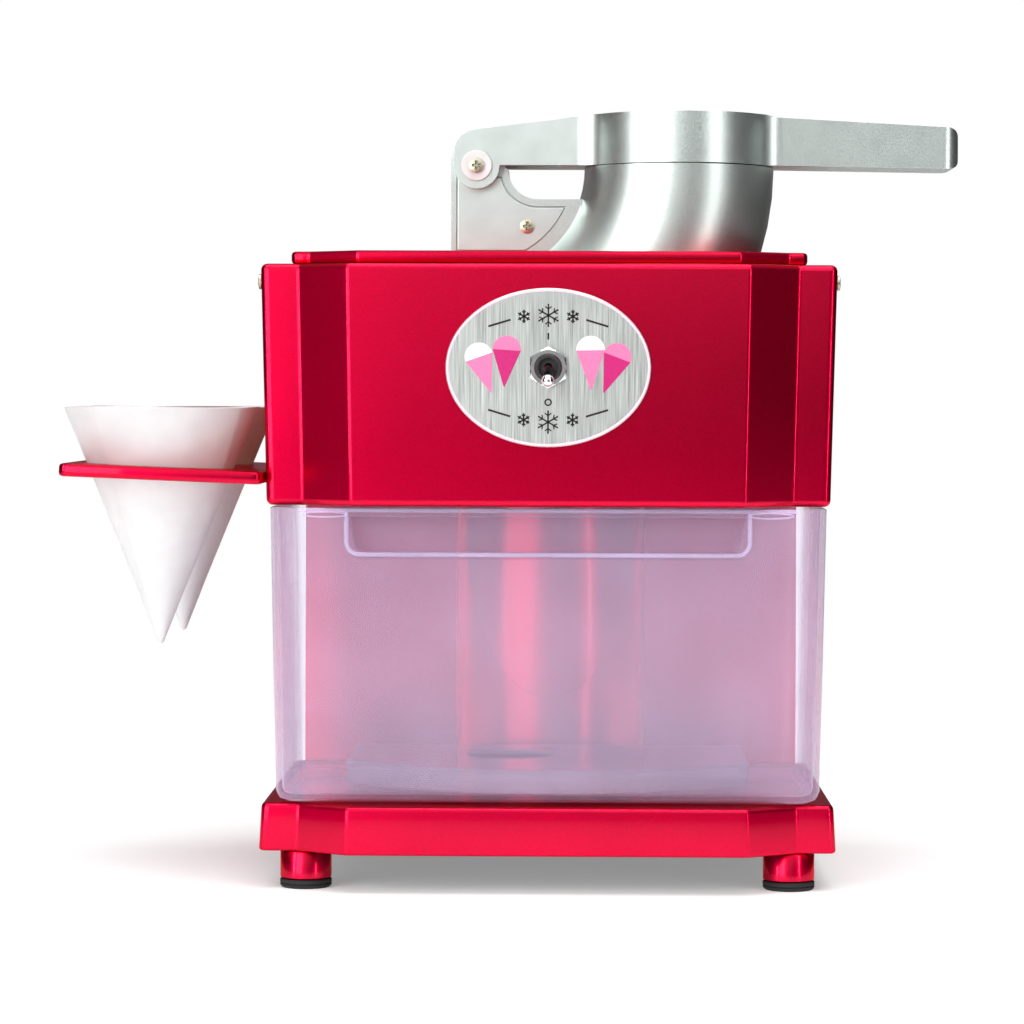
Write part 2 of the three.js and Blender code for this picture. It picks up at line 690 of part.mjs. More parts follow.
// ---- lever: its plan carried up, kept where its side view carried across also lies
function makeLever() {
  const left = pivotX - 12;
  const right = pivotX + leverReach;
  const reach = capRadius + leverFillet;
  const drop = leverHalf + leverFillet;
  const run = Math.sqrt(reach * reach - drop * drop);
  const turn = Math.asin(drop / reach);
  const plan = new THREE.Shape();
  plan.moveTo(left, leverHalf);
  plan.lineTo(left, -leverHalf);
  plan.absarc(mouthX - run, -drop, leverFillet, Math.PI / 2, turn, true);
  plan.absarc(mouthX, 0, capRadius, Math.PI + turn, 2 * Math.PI - turn, false);
  plan.absarc(mouthX + run, -drop, leverFillet, Math.PI - turn, Math.PI / 2, true);
  plan.absarc(right - 8, -leverHalf + 8, 8, -Math.PI / 2, 0, false);
  plan.absarc(right - 8, leverHalf - 8, 8, 0, Math.PI / 2, false);
  plan.absarc(mouthX + run, drop, leverFillet, -Math.PI / 2, Math.PI + turn, true);
  plan.absarc(mouthX, 0, capRadius, turn, Math.PI - turn, false);
  plan.absarc(mouthX - run, drop, leverFillet, -turn, -Math.PI / 2, true);

  const under = pivotZ + GAP;
  const crown = pivotZ + leverHeight;
  const side = new THREE.Shape();
  side.moveTo(pivotX + leverEnd, under);
  side.lineTo(mouthX + capRadius, under);
  side.lineTo(right - 5, under - tipDroop);
  side.quadraticCurveTo(right, under - tipDroop, right, under + 4);
  side.lineTo(right, pivotZ + leverTip - 5);
  side.quadraticCurveTo(right, pivotZ + leverTip, right - 6, pivotZ + leverTip + 0.3);
  side.lineTo(mouthX + capRadius, crown - 1);
  side.lineTo(mouthX + capRadius - 4, crown);
  side.lineTo(mouthX - capRadius + 2, crown);
  side.lineTo(pivotX + 5, pivotZ + leverHeel);
  side.quadraticCurveTo(pivotX - leverEnd, pivotZ + leverHeel, pivotX - leverEnd, pivotZ + 4);
  side.absarc(pivotX, pivotZ, leverEnd, Math.PI, 2 * Math.PI, false);
  const body = alongZ(plan, pivotZ - 30, crown + 10, { steps: 6 })
    .intersect(alongY(side, -capRadius - 5, capRadius + 5, 6));

  const slotHalf = leverHalf - cheek;
  const slotEnd = pivotX + 40;
  const webUnder = pivotZ + leverHeel - 3.4;
  const slot = box(left - 9, slotEnd, -slotHalf, slotHalf, pivotZ - 40, webUnder);
  const heel = box(left - 9, pivotX + 1, -slotHalf, slotHalf, pivotZ, crown + 9);
  const pinHole = cylinder("y", pinRadius + RUNNING, -40, 40, [pivotX, pivotZ], 24);
  piece("feed_lever", cut(body, slot, heel, pinHole), castAluminium);

  const half = pipeRadius - pipeWall - plungerClear;
  const bend = rad(plungerAngle);
  const thick = plungerArmWidth / 2 + 1;
  const arm = new THREE.Shape();
  arm.absarc(pivotX, pivotZ, bendRadius + thick, 0, -bend, true);
  arm.absarc(pivotX, pivotZ, bendRadius - thick, -bend, 0, false);
  piece("plunger_arm", alongY(arm, -plungerArmWidth / 2, plungerArmWidth / 2, 8), castAluminium);
  const disc = new THREE.CylinderGeometry(half, half, plungerHeadThick, 36);
  const head = piece("plunger_head", solid(disc), castAluminium);
  const step = bend + (plungerHeadThick / 2 + GAP) / (bendRadius - thick);
  head.position.set(pivotX + bendRadius * Math.cos(step), 0, pivotZ - bendRadius * Math.sin(step));
  head.rotation.y = step;
  head.rotation.order = "YXZ";
  head.rotation.x = Math.PI / 2;
}

// ---- blade disc and the parts on its shaft
function makeBladeUnit() {
  const at = [0, discZ];
  const left = discRight - discThick;
  const blank = cylinder("x", discRadius, left, discRight, at, 40);
  const hub = cylinder("x", hubRadius, left - hubLength, left + 1, at, 24);
  const bore = cylinder("x", shaftRadius + GAP, left - hubLength - 1, left - 0.7, at, 24);
  const window = new THREE.Matrix4();
  const slotGeometry = () => new THREE.BoxGeometry(discThick + 4, bladeLength + 1.2, bladeWidth + 1.6)
    .translate((left + discRight) / 2, bladeInner + bladeLength / 2, 0);
  const slots = Array.from({ length: bladeCount }, (_, i) => {
    window.makeRotationX((2 * Math.PI * i) / bladeCount);
    return solid(slotGeometry().applyMatrix4(window).translate(0, 0, discZ));
  });
  piece("blade_disc", cut(join(blank, hub), bore, ...slots), castAluminium);
  for (let i = 0; i < bladeCount; i++) {
    const edge = discRight + bladeProud;
    const blade = box(edge - bladeThick - 0.6, edge, bladeInner, bladeInner + bladeLength,
      -bladeWidth / 2, bladeWidth / 2);
    const mesh = piece(`shaver_blade_${i + 1}`, blade, steel);
    mesh.position.z = discZ;
    mesh.rotation.x = (2 * Math.PI * i) / bladeCount;
  }
  const shaftEnd = pulleyX - pulleyWidth / 2 - 3;
  piece("drive_shaft", cylinder("x", shaftRadius, shaftEnd, left - 1, at, 24), steel);
  const bearing = ring("x", bearingRadius, shaftRadius + RUNNING, hoodLeft - 3,
    hoodLeft - 3 + bearingLength, at, 24);
  piece("shaft_bearing", bearing, bronze);
}

// A flat-belt pulley with a rim on each side of its groove
function pulley(radius, bore, axisY, axisZ) {
  const half = pulleyWidth / 2;
  const groove = beltWidth / 2 + GAP;
  const profile = [
    [bore, -half],
    [radius + flange, -half],
    [radius + flange, -groove],
    [radius, -groove],
    [radius, groove],
    [radius + flange, groove],
    [radius + flange, half],
    [bore, half],
    [bore, -half],
  ];
  return turned("x", profile, [pulleyX, axisY, axisZ], radius > 20 ? 40 : 24);
}

// The belt's closed loop round both pulleys, in (y, z)
function beltLoop(path, offset) {
  const big = drivenPulley + GAP + offset;
  const small = motorPulley + GAP + offset;
  const run = Math.hypot(motorY, motorDrop);
  const heading = Math.atan2(-motorDrop, motorY);
  const wrap = Math.acos((big - small) / run);
  path.absarc(0, discZ, big, heading + wrap, heading - wrap, false);
  path.absarc(motorY, motorZ, small, heading - wrap, heading + wrap, false);
  return path;
}

function makeBeltDrive() {
  piece("driven_pulley", pulley(drivenPulley, shaftRadius + GAP, 0, discZ), blackPlastic);
  piece("motor_pulley", pulley(motorPulley, motorShaft + GAP, motorY, motorZ), blackPlastic);
  const loop = beltLoop(new THREE.Shape(), beltThick);
  loop.holes.push(beltLoop(new THREE.Path(), 0));
  const band = alongX(loop, pulleyX - beltWidth / 2, pulleyX + beltWidth / 2, 16);
  piece("drive_belt", band, rubber);
}

function makeMotor() {
  const at = [motorY, motorZ];
  const x0 = motorX - motorLength / 2;
  const x1 = motorX + motorLength / 2;
  const bore = motorShaft + RUNNING;
  piece("motor_can", ring("x", motorRadius, motorRadius - motorWall, x0, x1, at), steel);
  piece("motor_front_bell", ring("x", motorRadius, bore, x0 - GAP - bellThick, x0 - GAP, at), steel);
  piece("motor_rear_bell", ring("x", motorRadius, bore, x1 + GAP, x1 + GAP + bellThick, at), steel);
  piece("motor_armature", ring("x", armatureRadius, motorShaft + GAP, x0 + 8, x1 - 8, at), copperWinding);
  const fanX = x1 + GAP + bellThick + 2;
  const fan = ring("x", fanRadius, motorShaft + GAP, fanX, fanX + fanThick, at);
  const bladeGaps = Array.from({ length: 8 }, (_, i) => {
    const a = (2 * Math.PI * i) / 8;
    const g = new THREE.BoxGeometry(fanThick, fanRadius, 8.5).translate(3, fanRadius / 2 + 7.5, 0);
    g.applyMatrix4(new THREE.Matrix4().makeRotationX(a));
    return solid(g.translate(fanX + fanThick / 2, motorY, motorZ));
  });
  piece("cooling_fan", cut(fan, ...bladeGaps), blackPlastic);
  const shaftLeft = pulleyX - pulleyWidth / 2 - 3;
  piece("motor_shaft", cylinder("x", motorShaft, shaftLeft, fanX + fanThick + 2, at, SMALL), steel);
  const foot = floorTop + GAP;
  const block = box(motorX - 15, motorX + 15, motorY - 24, motorY + 23, foot, motorZ - 8);
  piece("motor_mount", cut(block, cylinder("x", motorRadius + GAP, x0, x1, at)), greyPlastic);
}

// ---- hood that turns the shavings down through the throat
function makeHood() {
  const right = outletX + 2;
  const foot = floorTop + GAP;
  const outer = box(hoodLeft, right, -hoodHalf, hoodHalf, foot, hoodTop);
  const inner = box(hoodLeft + hoodWall, right + 9, -hoodHalf + hoodWall, hoodHalf - hoodWall,
    foot - 9, hoodTop - 2.5);
  const seat = cylinder("x", bearingRadius + GAP, hoodLeft - 9, hoodLeft + 9, [0, discZ], 24);
  piece("discharge_hood", cut(outer, inner, seat), greyPlastic);
}

// ---- cone holder and the paper cones
function coneSolid(x, y, grow) {
  const slope = coneRimRadius / coneHeight;
  const rim = coneRimRadius + grow;
  const points = [[0, -grow * 2], [1.5 + grow, 1.5 / slope - 1.2 - grow], [rim, coneHeight]];
  if (grow > 0) {
    points.push([0, coneHeight]);
  } else {
    const rise = coneWall / Math.sin(Math.atan(slope));
    points.push([rim - coneWall, coneHeight], [0, rise]);
  }
  return turned("z", points, [x, y, coneTipHeight], 36);
}

function makeConeHolder() {
  const edge = -housingSide(holderHeight) - holderGap;
  const plan = rectangle(edge - holderReach, edge, -holderFront, holderBack, 4.5);
  const tilt = new THREE.Matrix4().makeRotationY(rad(holderTilt));
  const g = extrude(plan, holderThick, 4, 1.6);
  g.translate(-edge, 0, -holderThick / 2).applyMatrix4(tilt).translate(edge, 0, holderHeight);
  const tabs = tabY.map((y) => box(edge - 3, edge + holderGap + tabLength, y - tabWidth / 2,
    y + tabWidth / 2, holderHeight - tabThick / 2, holderHeight + tabThick / 2));
  const holes = coneY.map((y) => coneSolid(coneX, y, coneSeat));
  piece("cone_holder", cut(join(solid(g), ...tabs), ...holes), redPaint);
  piece("paper_cone_front", coneSolid(coneX, coneY[0], 0), whitePaper);
  piece("paper_cone_rear", coneSolid(coneX, coneY[1], 0), whitePaper);
}

makeBase();
makeBayWall();
makeDrawer();
makeHousing();
makeRearFittings();
makeControls();
makeFeedChute();
makeBracketFittings();
makeLever();
makeHood();
makeBladeUnit();
makeBeltDrive();
makeMotor();
makeConeHolder();

// The origin stands under the middle of the whole machine.
const tilt = rad(batTilt);
const reachLeft = coneX - coneRimRadius;
const reachRight = pivotX + leverReach;
const reachFront = front - batPivotProud - (batLength - batTip) * Math.cos(tilt) - batTip;
const reachBack = back + GAP + glandProud;
machine.position.set(-(reachLeft + reachRight) / 2, -(reachFront + reachBack) / 2, 0);

const group = new THREE.Group();
group.add(machine);
export default group;
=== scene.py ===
import json
import math
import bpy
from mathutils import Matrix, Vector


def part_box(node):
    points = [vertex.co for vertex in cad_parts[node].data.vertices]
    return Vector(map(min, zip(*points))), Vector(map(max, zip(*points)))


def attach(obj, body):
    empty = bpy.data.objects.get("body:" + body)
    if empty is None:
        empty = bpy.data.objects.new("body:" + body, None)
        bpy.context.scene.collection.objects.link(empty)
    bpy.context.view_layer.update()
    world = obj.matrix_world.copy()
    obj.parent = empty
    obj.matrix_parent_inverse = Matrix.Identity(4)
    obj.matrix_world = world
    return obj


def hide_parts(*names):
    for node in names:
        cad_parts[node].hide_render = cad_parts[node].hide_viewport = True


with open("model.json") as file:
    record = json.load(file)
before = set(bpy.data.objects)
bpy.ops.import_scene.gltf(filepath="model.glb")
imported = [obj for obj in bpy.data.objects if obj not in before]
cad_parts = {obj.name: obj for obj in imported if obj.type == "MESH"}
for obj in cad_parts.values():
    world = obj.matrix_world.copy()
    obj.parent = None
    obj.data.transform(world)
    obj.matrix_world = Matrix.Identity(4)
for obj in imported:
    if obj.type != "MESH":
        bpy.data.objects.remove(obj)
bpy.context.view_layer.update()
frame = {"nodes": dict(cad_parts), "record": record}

from types import SimpleNamespace

import bmesh
import bpy
import numpy as np
from mathutils import Matrix, Vector

bl_info = {
    "name": "Shaved ice machine",
    "version": (1, 0, 0),
    "blender": (4, 5, 0),
    "location": "View3D > Sidebar > Shaved Ice",
    "description": "Builds the visible surfaces of a shaved ice machine around its packed frame",
    "category": "Object",
}

MM = 0.001
TAU = 2 * math.pi
BODY_OF = {
    node: body
    for body, nodes in frame["record"]["behaviour"]["bodies"].items()
    for node in nodes
}


def corners(node):
    """The lowest and highest corner of a CAD node at rest, in millimetres."""
    low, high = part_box(node)
    return np.array(low) / MM, np.array(high) / MM


# ---------------------------------------------------------------- materials
def linear(code):
    """The linear colour of an sRGB hex value: a straight piece near black, a power of 2.4 above."""
    value = np.array([int(code[i : i + 2], 16) for i in (1, 3, 5)]) / 255
    low, high = value / 12.92, ((value + 0.055) / 1.055) ** 2.4
    return (*np.where(value <= 0.04045, low, high).tolist(), 1.0)


def add(tree, kind, settings=(), links=()):
    """Adds a node, sets its values by attribute or socket, and links its inputs to outputs."""
    node = tree.nodes.new(kind)
    for key, value in dict(settings).items():
        if key == "stops":
            ramp = node.color_ramp.elements
            while len(ramp) < len(value):
                ramp.new(0.5)
            for stop, (place, code) in zip(ramp, value):
                stop.position = place
                stop.color = linear(code) if isinstance(code, str) else code
        elif isinstance(key, str) and hasattr(node, key):
            setattr(node, key, value)
        else:
            node.inputs[key].default_value = value
    for key, source in dict(links).items():
        tree.links.new(source, node.inputs[key])
    return node


def shade(name, share=1.0):
    """One of the panel's colours, dimmed to a share of itself."""
    colour = getattr(bpy.context.scene.shaved_ice_looks, name)
    return (*(share * value for value in colour), 1.0)


def surface(name, **sockets):
    """A new material's tree with its shader's constant sockets set, and object coordinates."""
    material = bpy.data.materials.new(name)
    material.use_nodes = True
    tree = material.node_tree
    tree.nodes.clear()
    values = {key.replace("_", " "): value for key, value in sockets.items()}
    shader = add(tree, "ShaderNodeBsdfPrincipled", values)
    add(tree, "ShaderNodeOutputMaterial", {}, {"Surface": shader.outputs[0]})
    spot = add(tree, "ShaderNodeTexCoord").outputs["Object"]
    return material, tree, shader, spot


def noise(tree, spot, size, detail=2.0, stretch=(1, 1, 1)):
    """Noise whose features are size millimetres across, drawn out by stretch along each axis."""
    scale = tuple(1 / (size * MM * s) for s in stretch)
    mapped = add(tree, "ShaderNodeMapping", {"Scale": scale}, {"Vector": spot})
    return add(
        tree, "ShaderNodeTexNoise", {"Scale": 1.0, "Detail": detail}, {"Vector": mapped.outputs[0]}
    ).outputs["Fac"]


def spread(tree, value, low, high, start=0.3, end=0.7):
    """Carries a pattern's values from start..end over to low..high."""
    settings = {"From Min": start, "From Max": end, "To Min": low, "To Max": high}
    return add(tree, "ShaderNodeMapRange", settings, {"Value": value}).outputs[0]


def bump(tree, shader, height, depth, strength=1.0, socket="Normal"):
    """Raises the surface by height, depth millimetres from low to high."""
    made = add(
        tree,
        "ShaderNodeBump",
        {"Strength": strength, "Distance": depth * MM},
        {"Height": height},
    )
    tree.links.new(made.outputs[0], shader.inputs[socket])
    return made


def tint(tree, shader, value, stops):
    """Colours the surface along a ramp of sRGB stops."""
    ramp = add(tree, "ShaderNodeValToRGB", {"stops": stops}, {"Fac": value})
    tree.links.new(ramp.outputs["Color"], shader.inputs["Base Color"])


def candy_lacquer():
    """Sprayed metallic lacquer on pressed steel, with a clear coat baked over it.

    The flakes scatter a deep crimson, and the smooth coat above adds thin pale highlights."""
    material, tree, shader, spot = surface(
        "candy_lacquer_sprayed",
        Metallic=1.0,
        Specular_Tint=linear("#ff4a8c"),
        Coat_Weight=0.22,
        Coat_Roughness=0.05,
        Coat_IOR=1.5,
    )
    flake = noise(tree, spot, 0.5, detail=1)  # real flakes are finer, too fine to show
    cloud = noise(tree, spot, 60, detail=1)
    mixed = add(tree, "ShaderNodeMath", {"operation": "MULTIPLY_ADD", 1: 0.35}, {0: flake})
    tree.links.new(spread(tree, cloud, 0.3, 0.36), mixed.inputs[2])
    tint(tree, shader, mixed.outputs[0], [(0.25, shade("lacquer", 0.45)), (0.75, shade("lacquer"))])
    tree.links.new(spread(tree, flake, 0.28, 0.33), shader.inputs["Roughness"])
    bump(tree, shader, flake, 0.003, 0.35)
    return material


def cast_aluminium():
    """Die-cast aluminium, tumbled and left bare: a pale satin metal with a soft cloudy grain."""
    material, tree, shader, spot = surface("aluminium_die_cast", Metallic=1.0)
    grain = noise(tree, spot, 0.7, detail=3)
    cloud = noise(tree, spot, 14, detail=2)
    tint(tree, shader, cloud, [(0.3, shade("aluminium", 0.9)), (0.7, shade("aluminium"))])
    tree.links.new(spread(tree, grain, 0.3, 0.42), shader.inputs["Roughness"])
    bump(tree, shader, grain, 0.02, 0.5)
    return material


def turned_aluminium():
    """Cast aluminium, linished on its bend: fine scratches and grain over a duller shine."""
    material, tree, shader, spot = surface("aluminium_linished", Metallic=1.0)
    scratch = noise(tree, spot, 0.5, detail=2)
    grain = noise(tree, spot, 0.8, detail=2)
    tint(tree, shader, scratch, [(0.3, shade("aluminium", 0.8)), (0.7, shade("aluminium", 0.93))])
    tree.links.new(spread(tree, scratch, 0.32, 0.42), shader.inputs["Roughness"])
    bump(tree, shader, grain, 0.01, 0.3)
    return material


def brushed_aluminium():
    """Rolled sheet brushed up and down: long hair lines 0.3 mm apart that dull its shine."""
    material, tree, shader, spot = surface("aluminium_brushed_sheet", Metallic=0.9)
    lines = noise(tree, spot, 0.3, detail=3, stretch=(1, 1, 90))
    tint(tree, shader, lines, [(0.3, "#a3a8a5"), (0.7, "#d5d9d6")])
    tree.links.new(spread(tree, lines, 0.32, 0.5), shader.inputs["Roughness"])
    bump(tree, shader, lines, 0.01, 0.5)
    return material


def chrome():
    """Nickel-chrome plating on brass: a near mirror, with a faint haze left by polishing."""
    material, tree, shader, spot = surface("chrome_plated_brass", Metallic=1.0)
    haze = noise(tree, spot, 4, detail=2)
    tint(tree, shader, haze, [(0.3, "#dcdedf"), (0.7, "#eeeff0")])
    tree.links.new(spread(tree, haze, 0.05, 0.12), shader.inputs["Roughness"])
    return material


def zinc_steel():
    """Zinc-plated, passivated steel screws and shafts: dull and yellowish, with turning marks."""
    material, tree, shader, spot = surface("steel_zinc_plated", Metallic=1.0)
    marks = noise(tree, spot, 0.6, detail=2)
    tint(tree, shader, marks, [(0.3, "#b0af9a"), (0.7, "#cdcbb6")])
    tree.links.new(spread(tree, marks, 0.34, 0.46), shader.inputs["Roughness"])
    bump(tree, shader, marks, 0.01, 0.4)
    return material


def rubber():
    """Moulded nitrile rubber: nearly black, matt, with a fine sandy skin from its mould."""
    material, tree, shader, spot = surface("rubber_moulded", IOR=1.52)
    skin = noise(tree, spot, 0.5, detail=2)
    tint(tree, shader, skin, [(0.3, "#0c0c0d"), (0.7, "#1c1c1d")])
    tree.links.new(spread(tree, skin, 0.65, 0.85), shader.inputs["Roughness"])
    bump(tree, shader, skin, 0.05, 0.6)
    return material


def black_plastic():
    """Injection-moulded ABS in black, with a light spark-eroded texture 0.4 mm across."""
    material, tree, shader, spot = surface("abs_black_moulded", IOR=1.53)
    texture = noise(tree, spot, 0.4, detail=2)
    tint(tree, shader, texture, [(0.3, "#121214"), (0.7, "#1f1f22")])
    tree.links.new(spread(tree, texture, 0.36, 0.52), shader.inputs["Roughness"])
    bump(tree, shader, texture, 0.02, 0.5)
    return material


def grey_plastic():
    """Injection-moulded polypropylene in light grey: waxy, with faint flow clouds."""
    material, tree, shader, spot = surface("polypropylene_grey_moulded", IOR=1.49)
    flow = noise(tree, spot, 9, detail=2)
    tint(tree, shader, flow, [(0.3, "#d4d6d5"), (0.7, "#e4e6e5")])
    tree.links.new(spread(tree, flow, 0.3, 0.42), shader.inputs["Roughness"])
    return material


def clear_styrene(name="polystyrene_clear_moulded", face=0.145, side=0.8, share=1.0):
    """Clear moulded polystyrene: see-through face on, milky, and denser where it is seen edge on.

    Face and side are how dense it looks face on and edge on, and share dims its colour."""
    material, tree, shader, spot = surface(name, IOR=1.59)
    flow = noise(tree, spot, 30, detail=1)
    stops = [(0.3, shade("plastic", 0.88 * share)), (0.7, shade("plastic", share))]
    tint(tree, shader, flow, stops)
    tree.links.new(spread(tree, flow, 0.03, 0.06), shader.inputs["Roughness"])
    edge = add(tree, "ShaderNodeLayerWeight", {"Blend": 0.35}).outputs["Facing"]
    tree.links.new(spread(tree, edge, face, side, 0.25, 0.98), shader.inputs["Alpha"])
    return material


def thick_styrene():
    """The same clear polystyrene where it is thick: a denser, paler line of light."""
    return clear_styrene("polystyrene_clear_thick", 0.3, 0.95)


def tray_styrene():
    """Clear polystyrene with a light frost, which turns the drawer's false floor greyer."""
    return clear_styrene("polystyrene_clear_frosted", 0.28, 0.85, 0.6)


def white_paper():
    """Waxed cone paper, rolled from bleached stock: soft white, with short fibres in its skin."""
    material, tree, shader, spot = surface(
        "paper_waxed_rolled", IOR=1.45, Sheen_Weight=0.15, Subsurface_Weight=0.1
    )
    fibre = noise(tree, spot, 0.6, detail=3, stretch=(1, 1, 5))
    cloud = noise(tree, spot, 12, detail=2)
    tint(tree, shader, cloud, [(0.3, shade("paper", 0.92)), (0.7, shade("paper"))])
    tree.links.new(spread(tree, fibre, 0.5, 0.68), shader.inputs["Roughness"])
    bump(tree, shader, fibre, 0.02, 0.4)
    return material


def copper_winding():
    """Enamelled copper wire wound on iron: brown-red, ribbed at the wire's 0.8 mm."""
    material, tree, shader, spot = surface("copper_wire_enamelled", Metallic=0.8)
    wires = noise(tree, spot, 0.8, detail=1, stretch=(1, 12, 12))
    tint(tree, shader, wires, [(0.3, "#5c2d17"), (0.7, "#a8623a")])
    tree.links.new(spread(tree, wires, 0.3, 0.5), shader.inputs["Roughness"])
    bump(tree, shader, wires, 0.2, 0.7)
    return material


def sintered_bronze():
    """Oil-filled sintered bronze: dull gold with open pores 0.5 mm apart."""
    material, tree, shader, spot = surface("bronze_sintered", Metallic=0.95)
    pores = noise(tree, spot, 0.5, detail=3)
    tint(tree, shader, pores, [(0.3, "#7d5a2c"), (0.7, "#b98f52")])
    tree.links.new(spread(tree, pores, 0.35, 0.55), shader.inputs["Roughness"])
    bump(tree, shader, pores, 0.05, 0.5)
    return material


def ink(name):
    """Screen-printed enamel ink on metal: flat colour with a slightly pebbled gloss."""
    material, tree, shader, spot = surface(name, IOR=1.5, Coat_Weight=0.3, Coat_Roughness=0.15)
    pebble = noise(tree, spot, 0.8, detail=2)
    tint(tree, shader, pebble, [(0.3, shade(name, 0.88)), (0.7, shade(name))])
    tree.links.new(spread(tree, pebble, 0.3, 0.42), shader.inputs["Roughness"])
    return material


MAKERS = {
    "red_paint": candy_lacquer,
    "cast_aluminium": cast_aluminium,
    "turned_aluminium": turned_aluminium,
    "brushed_aluminium": brushed_aluminium,
    "chrome": chrome,
    "steel": zinc_steel,
    "rubber": rubber,
    "black_plastic": black_plastic,
    "grey_plastic": grey_plastic,
    "clear_plastic": clear_styrene,
    "thick_plastic": thick_styrene,
    "tray_plastic": tray_styrene,
    "white_paper": white_paper,
    "copper_winding": copper_winding,
    "bronze": sintered_bronze,
}
MADE = {}


def finish(name):
    """The material of that name, made on its first use."""
    if name not in MADE:
        MADE[name] = MAKERS[name]() if name in MAKERS else ink(name)
    return MADE[name]


# ---------------------------------------------------------------- shapes
def surface_mesh(name, points, faces, smooth_angle=40):
    """A mesh from points in millimetres, welded, its faces out, smooth up to an angle."""
    mesh = bpy.data.meshes.new(name)
    mesh.from_pydata((np.asarray(points, float).reshape(-1, 3) * MM).tolist(), [], faces)
    shape = bmesh.new()
    shape.from_mesh(mesh)
    bmesh.ops.remove_doubles(shape, verts=shape.verts, dist=2e-6)
    bmesh.ops.dissolve_degenerate(shape, dist=1e-7, edges=shape.edges)
    if shape.calc_volume(signed=True) < 0:
        bmesh.ops.reverse_faces(shape, faces=shape.faces)
    shape.to_mesh(mesh)
    shape.free()
    mesh.shade_smooth()
    mesh.set_sharp_from_angle(angle=math.radians(smooth_angle))
    return mesh


def grid_faces(rows, columns, closed=False):
    """Faces of a grid of points whose rows each join round to themselves.

    Closed joins the last row to the first; otherwise both end rows are capped."""
    last = rows if closed else rows - 1
    r, c = np.meshgrid(np.arange(last), np.arange(columns), indexing="ij")
    r2, c2 = (r + 1) % rows, (c + 1) % columns
    quads = np.stack([r * columns + c, r * columns + c2, r2 * columns + c2, r2 * columns + c], -1)
    faces = quads.reshape(-1, 4).tolist()
    if not closed:
        faces.append(list(range(columns))[::-1])
        faces.append(list(range((rows - 1) * columns, rows * columns)))
    return faces


def place(name, mesh, material, nodes, slot, body=None):
    """Puts a finished mesh in the scene, riding on its nodes' body and standing for them."""
    piece = bpy.data.objects.new(name, mesh)
    bpy.context.scene.collection.objects.link(piece)
    piece.data.materials.clear()
    piece.data.materials.append(finish(material))
    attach(piece, body or BODY_OF[nodes[0]])
    if nodes:
        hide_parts(*nodes)
    return piece


def soften(piece, width, segments=3, angle=30):
    """Rounds a piece's edges by width millimetres and keeps its flat faces flat."""
    bevel = piece.modifiers.new("rounded_edges", "BEVEL")
    bevel.width = width * MM
    bevel.segments = segments
    bevel.limit_method = "ANGLE"
    bevel.angle_limit = math.radians(angle)
    bevel.use_clamp_overlap = True
    bevel.harden_normals = True
    return piece


def welded_copy(node):
    """Points and faces of a CAD node, welded, with each flat area as one face."""
    shape = bmesh.new()
    shape.from_mesh(frame["nodes"][node].data)
    bmesh.ops.remove_doubles(shape, verts=shape.verts, dist=3e-6)
    bmesh.ops.dissolve_limit(
        shape, angle_limit=math.radians(0.6), verts=shape.verts, edges=shape.edges
    )
    shape.verts.index_update()
    points = [tuple(v.co / MM) for v in shape.verts]
    faces = [[v.index for v in face.verts] for face in shape.faces]
    shape.free()
    return points, faces


def rounded_node(name, node, material, slot, width, segments=3):
    """A CAD node's shape with its edges rounded by width millimetres."""
    points, faces = welded_copy(node)
    mesh = surface_mesh(name, points, faces, 180)
    return soften(place(name, mesh, material, [node], slot), width, segments)


def turned_mesh(name, profile, centre, axis, facets=64, change=None):
    """A profile of [radius, along] millimetres turned about an axis through centre.

    Each point is centre + along * axis + radius * (cos t * u + sin t * v); change may alter
    the radius by angle and place along the axis."""
    profile = np.asarray(profile, float)
    t = np.arange(facets) * TAU / facets
    radius = np.repeat(profile[:, :1], facets, 1)
    along = np.repeat(profile[:, 1:], facets, 1)
    if change is not None:
        radius, along = change(radius, along, np.broadcast_to(t, radius.shape))
    axis, up = Vector(axis).normalized(), Vector((0, 0, 1))
    u = Vector((1, 0, 0)) if abs(axis.z) > 0.9 else up.cross(axis).normalized()
    v = axis.cross(u)
    points = (
        np.array(centre)
        + along[..., None] * np.array(axis)
        + radius[..., None] * (np.cos(t)[:, None] * np.array(u) + np.sin(t)[:, None] * np.array(v))
    )
    return surface_mesh(name, points, grid_faces(len(profile), facets))


def arc(centre, radius, start, end, steps=6):
    """Points of a circle's arc from start to end degrees."""
    t = np.radians(np.linspace(start, end, steps))
    return np.stack([centre[0] + radius * np.cos(t), centre[1] + radius * np.sin(t)], -1).tolist()


def quarter(radius):
    """Seven points of a quarter circle, as the sines and the cosines times its radius."""
    t = np.radians(np.linspace(0, 90, 7))
    return radius * np.sin(t), radius * np.cos(t)


def flat_prism(outline, y_front, y_back):
    """An outline in (x, z) carried from y_front back to y_back."""
    outline = np.asarray(outline, float)
    rings = [
        np.stack([outline[:, 0], np.full(len(outline), y), outline[:, 1]], -1)
        for y in (y_front, y_back)
    ]
    return np.concatenate(rings), grid_faces(2, len(outline))


def merged(parts):
    """Several (points, faces) shapes as one."""
    points, faces, start = [], [], 0
    for p, f in parts:
        p = np.asarray(p, float).reshape(-1, 3)
        points.append(p)
        faces.extend([[i + start for i in face] for face in f])
        start += len(p)
    return np.concatenate(points), faces


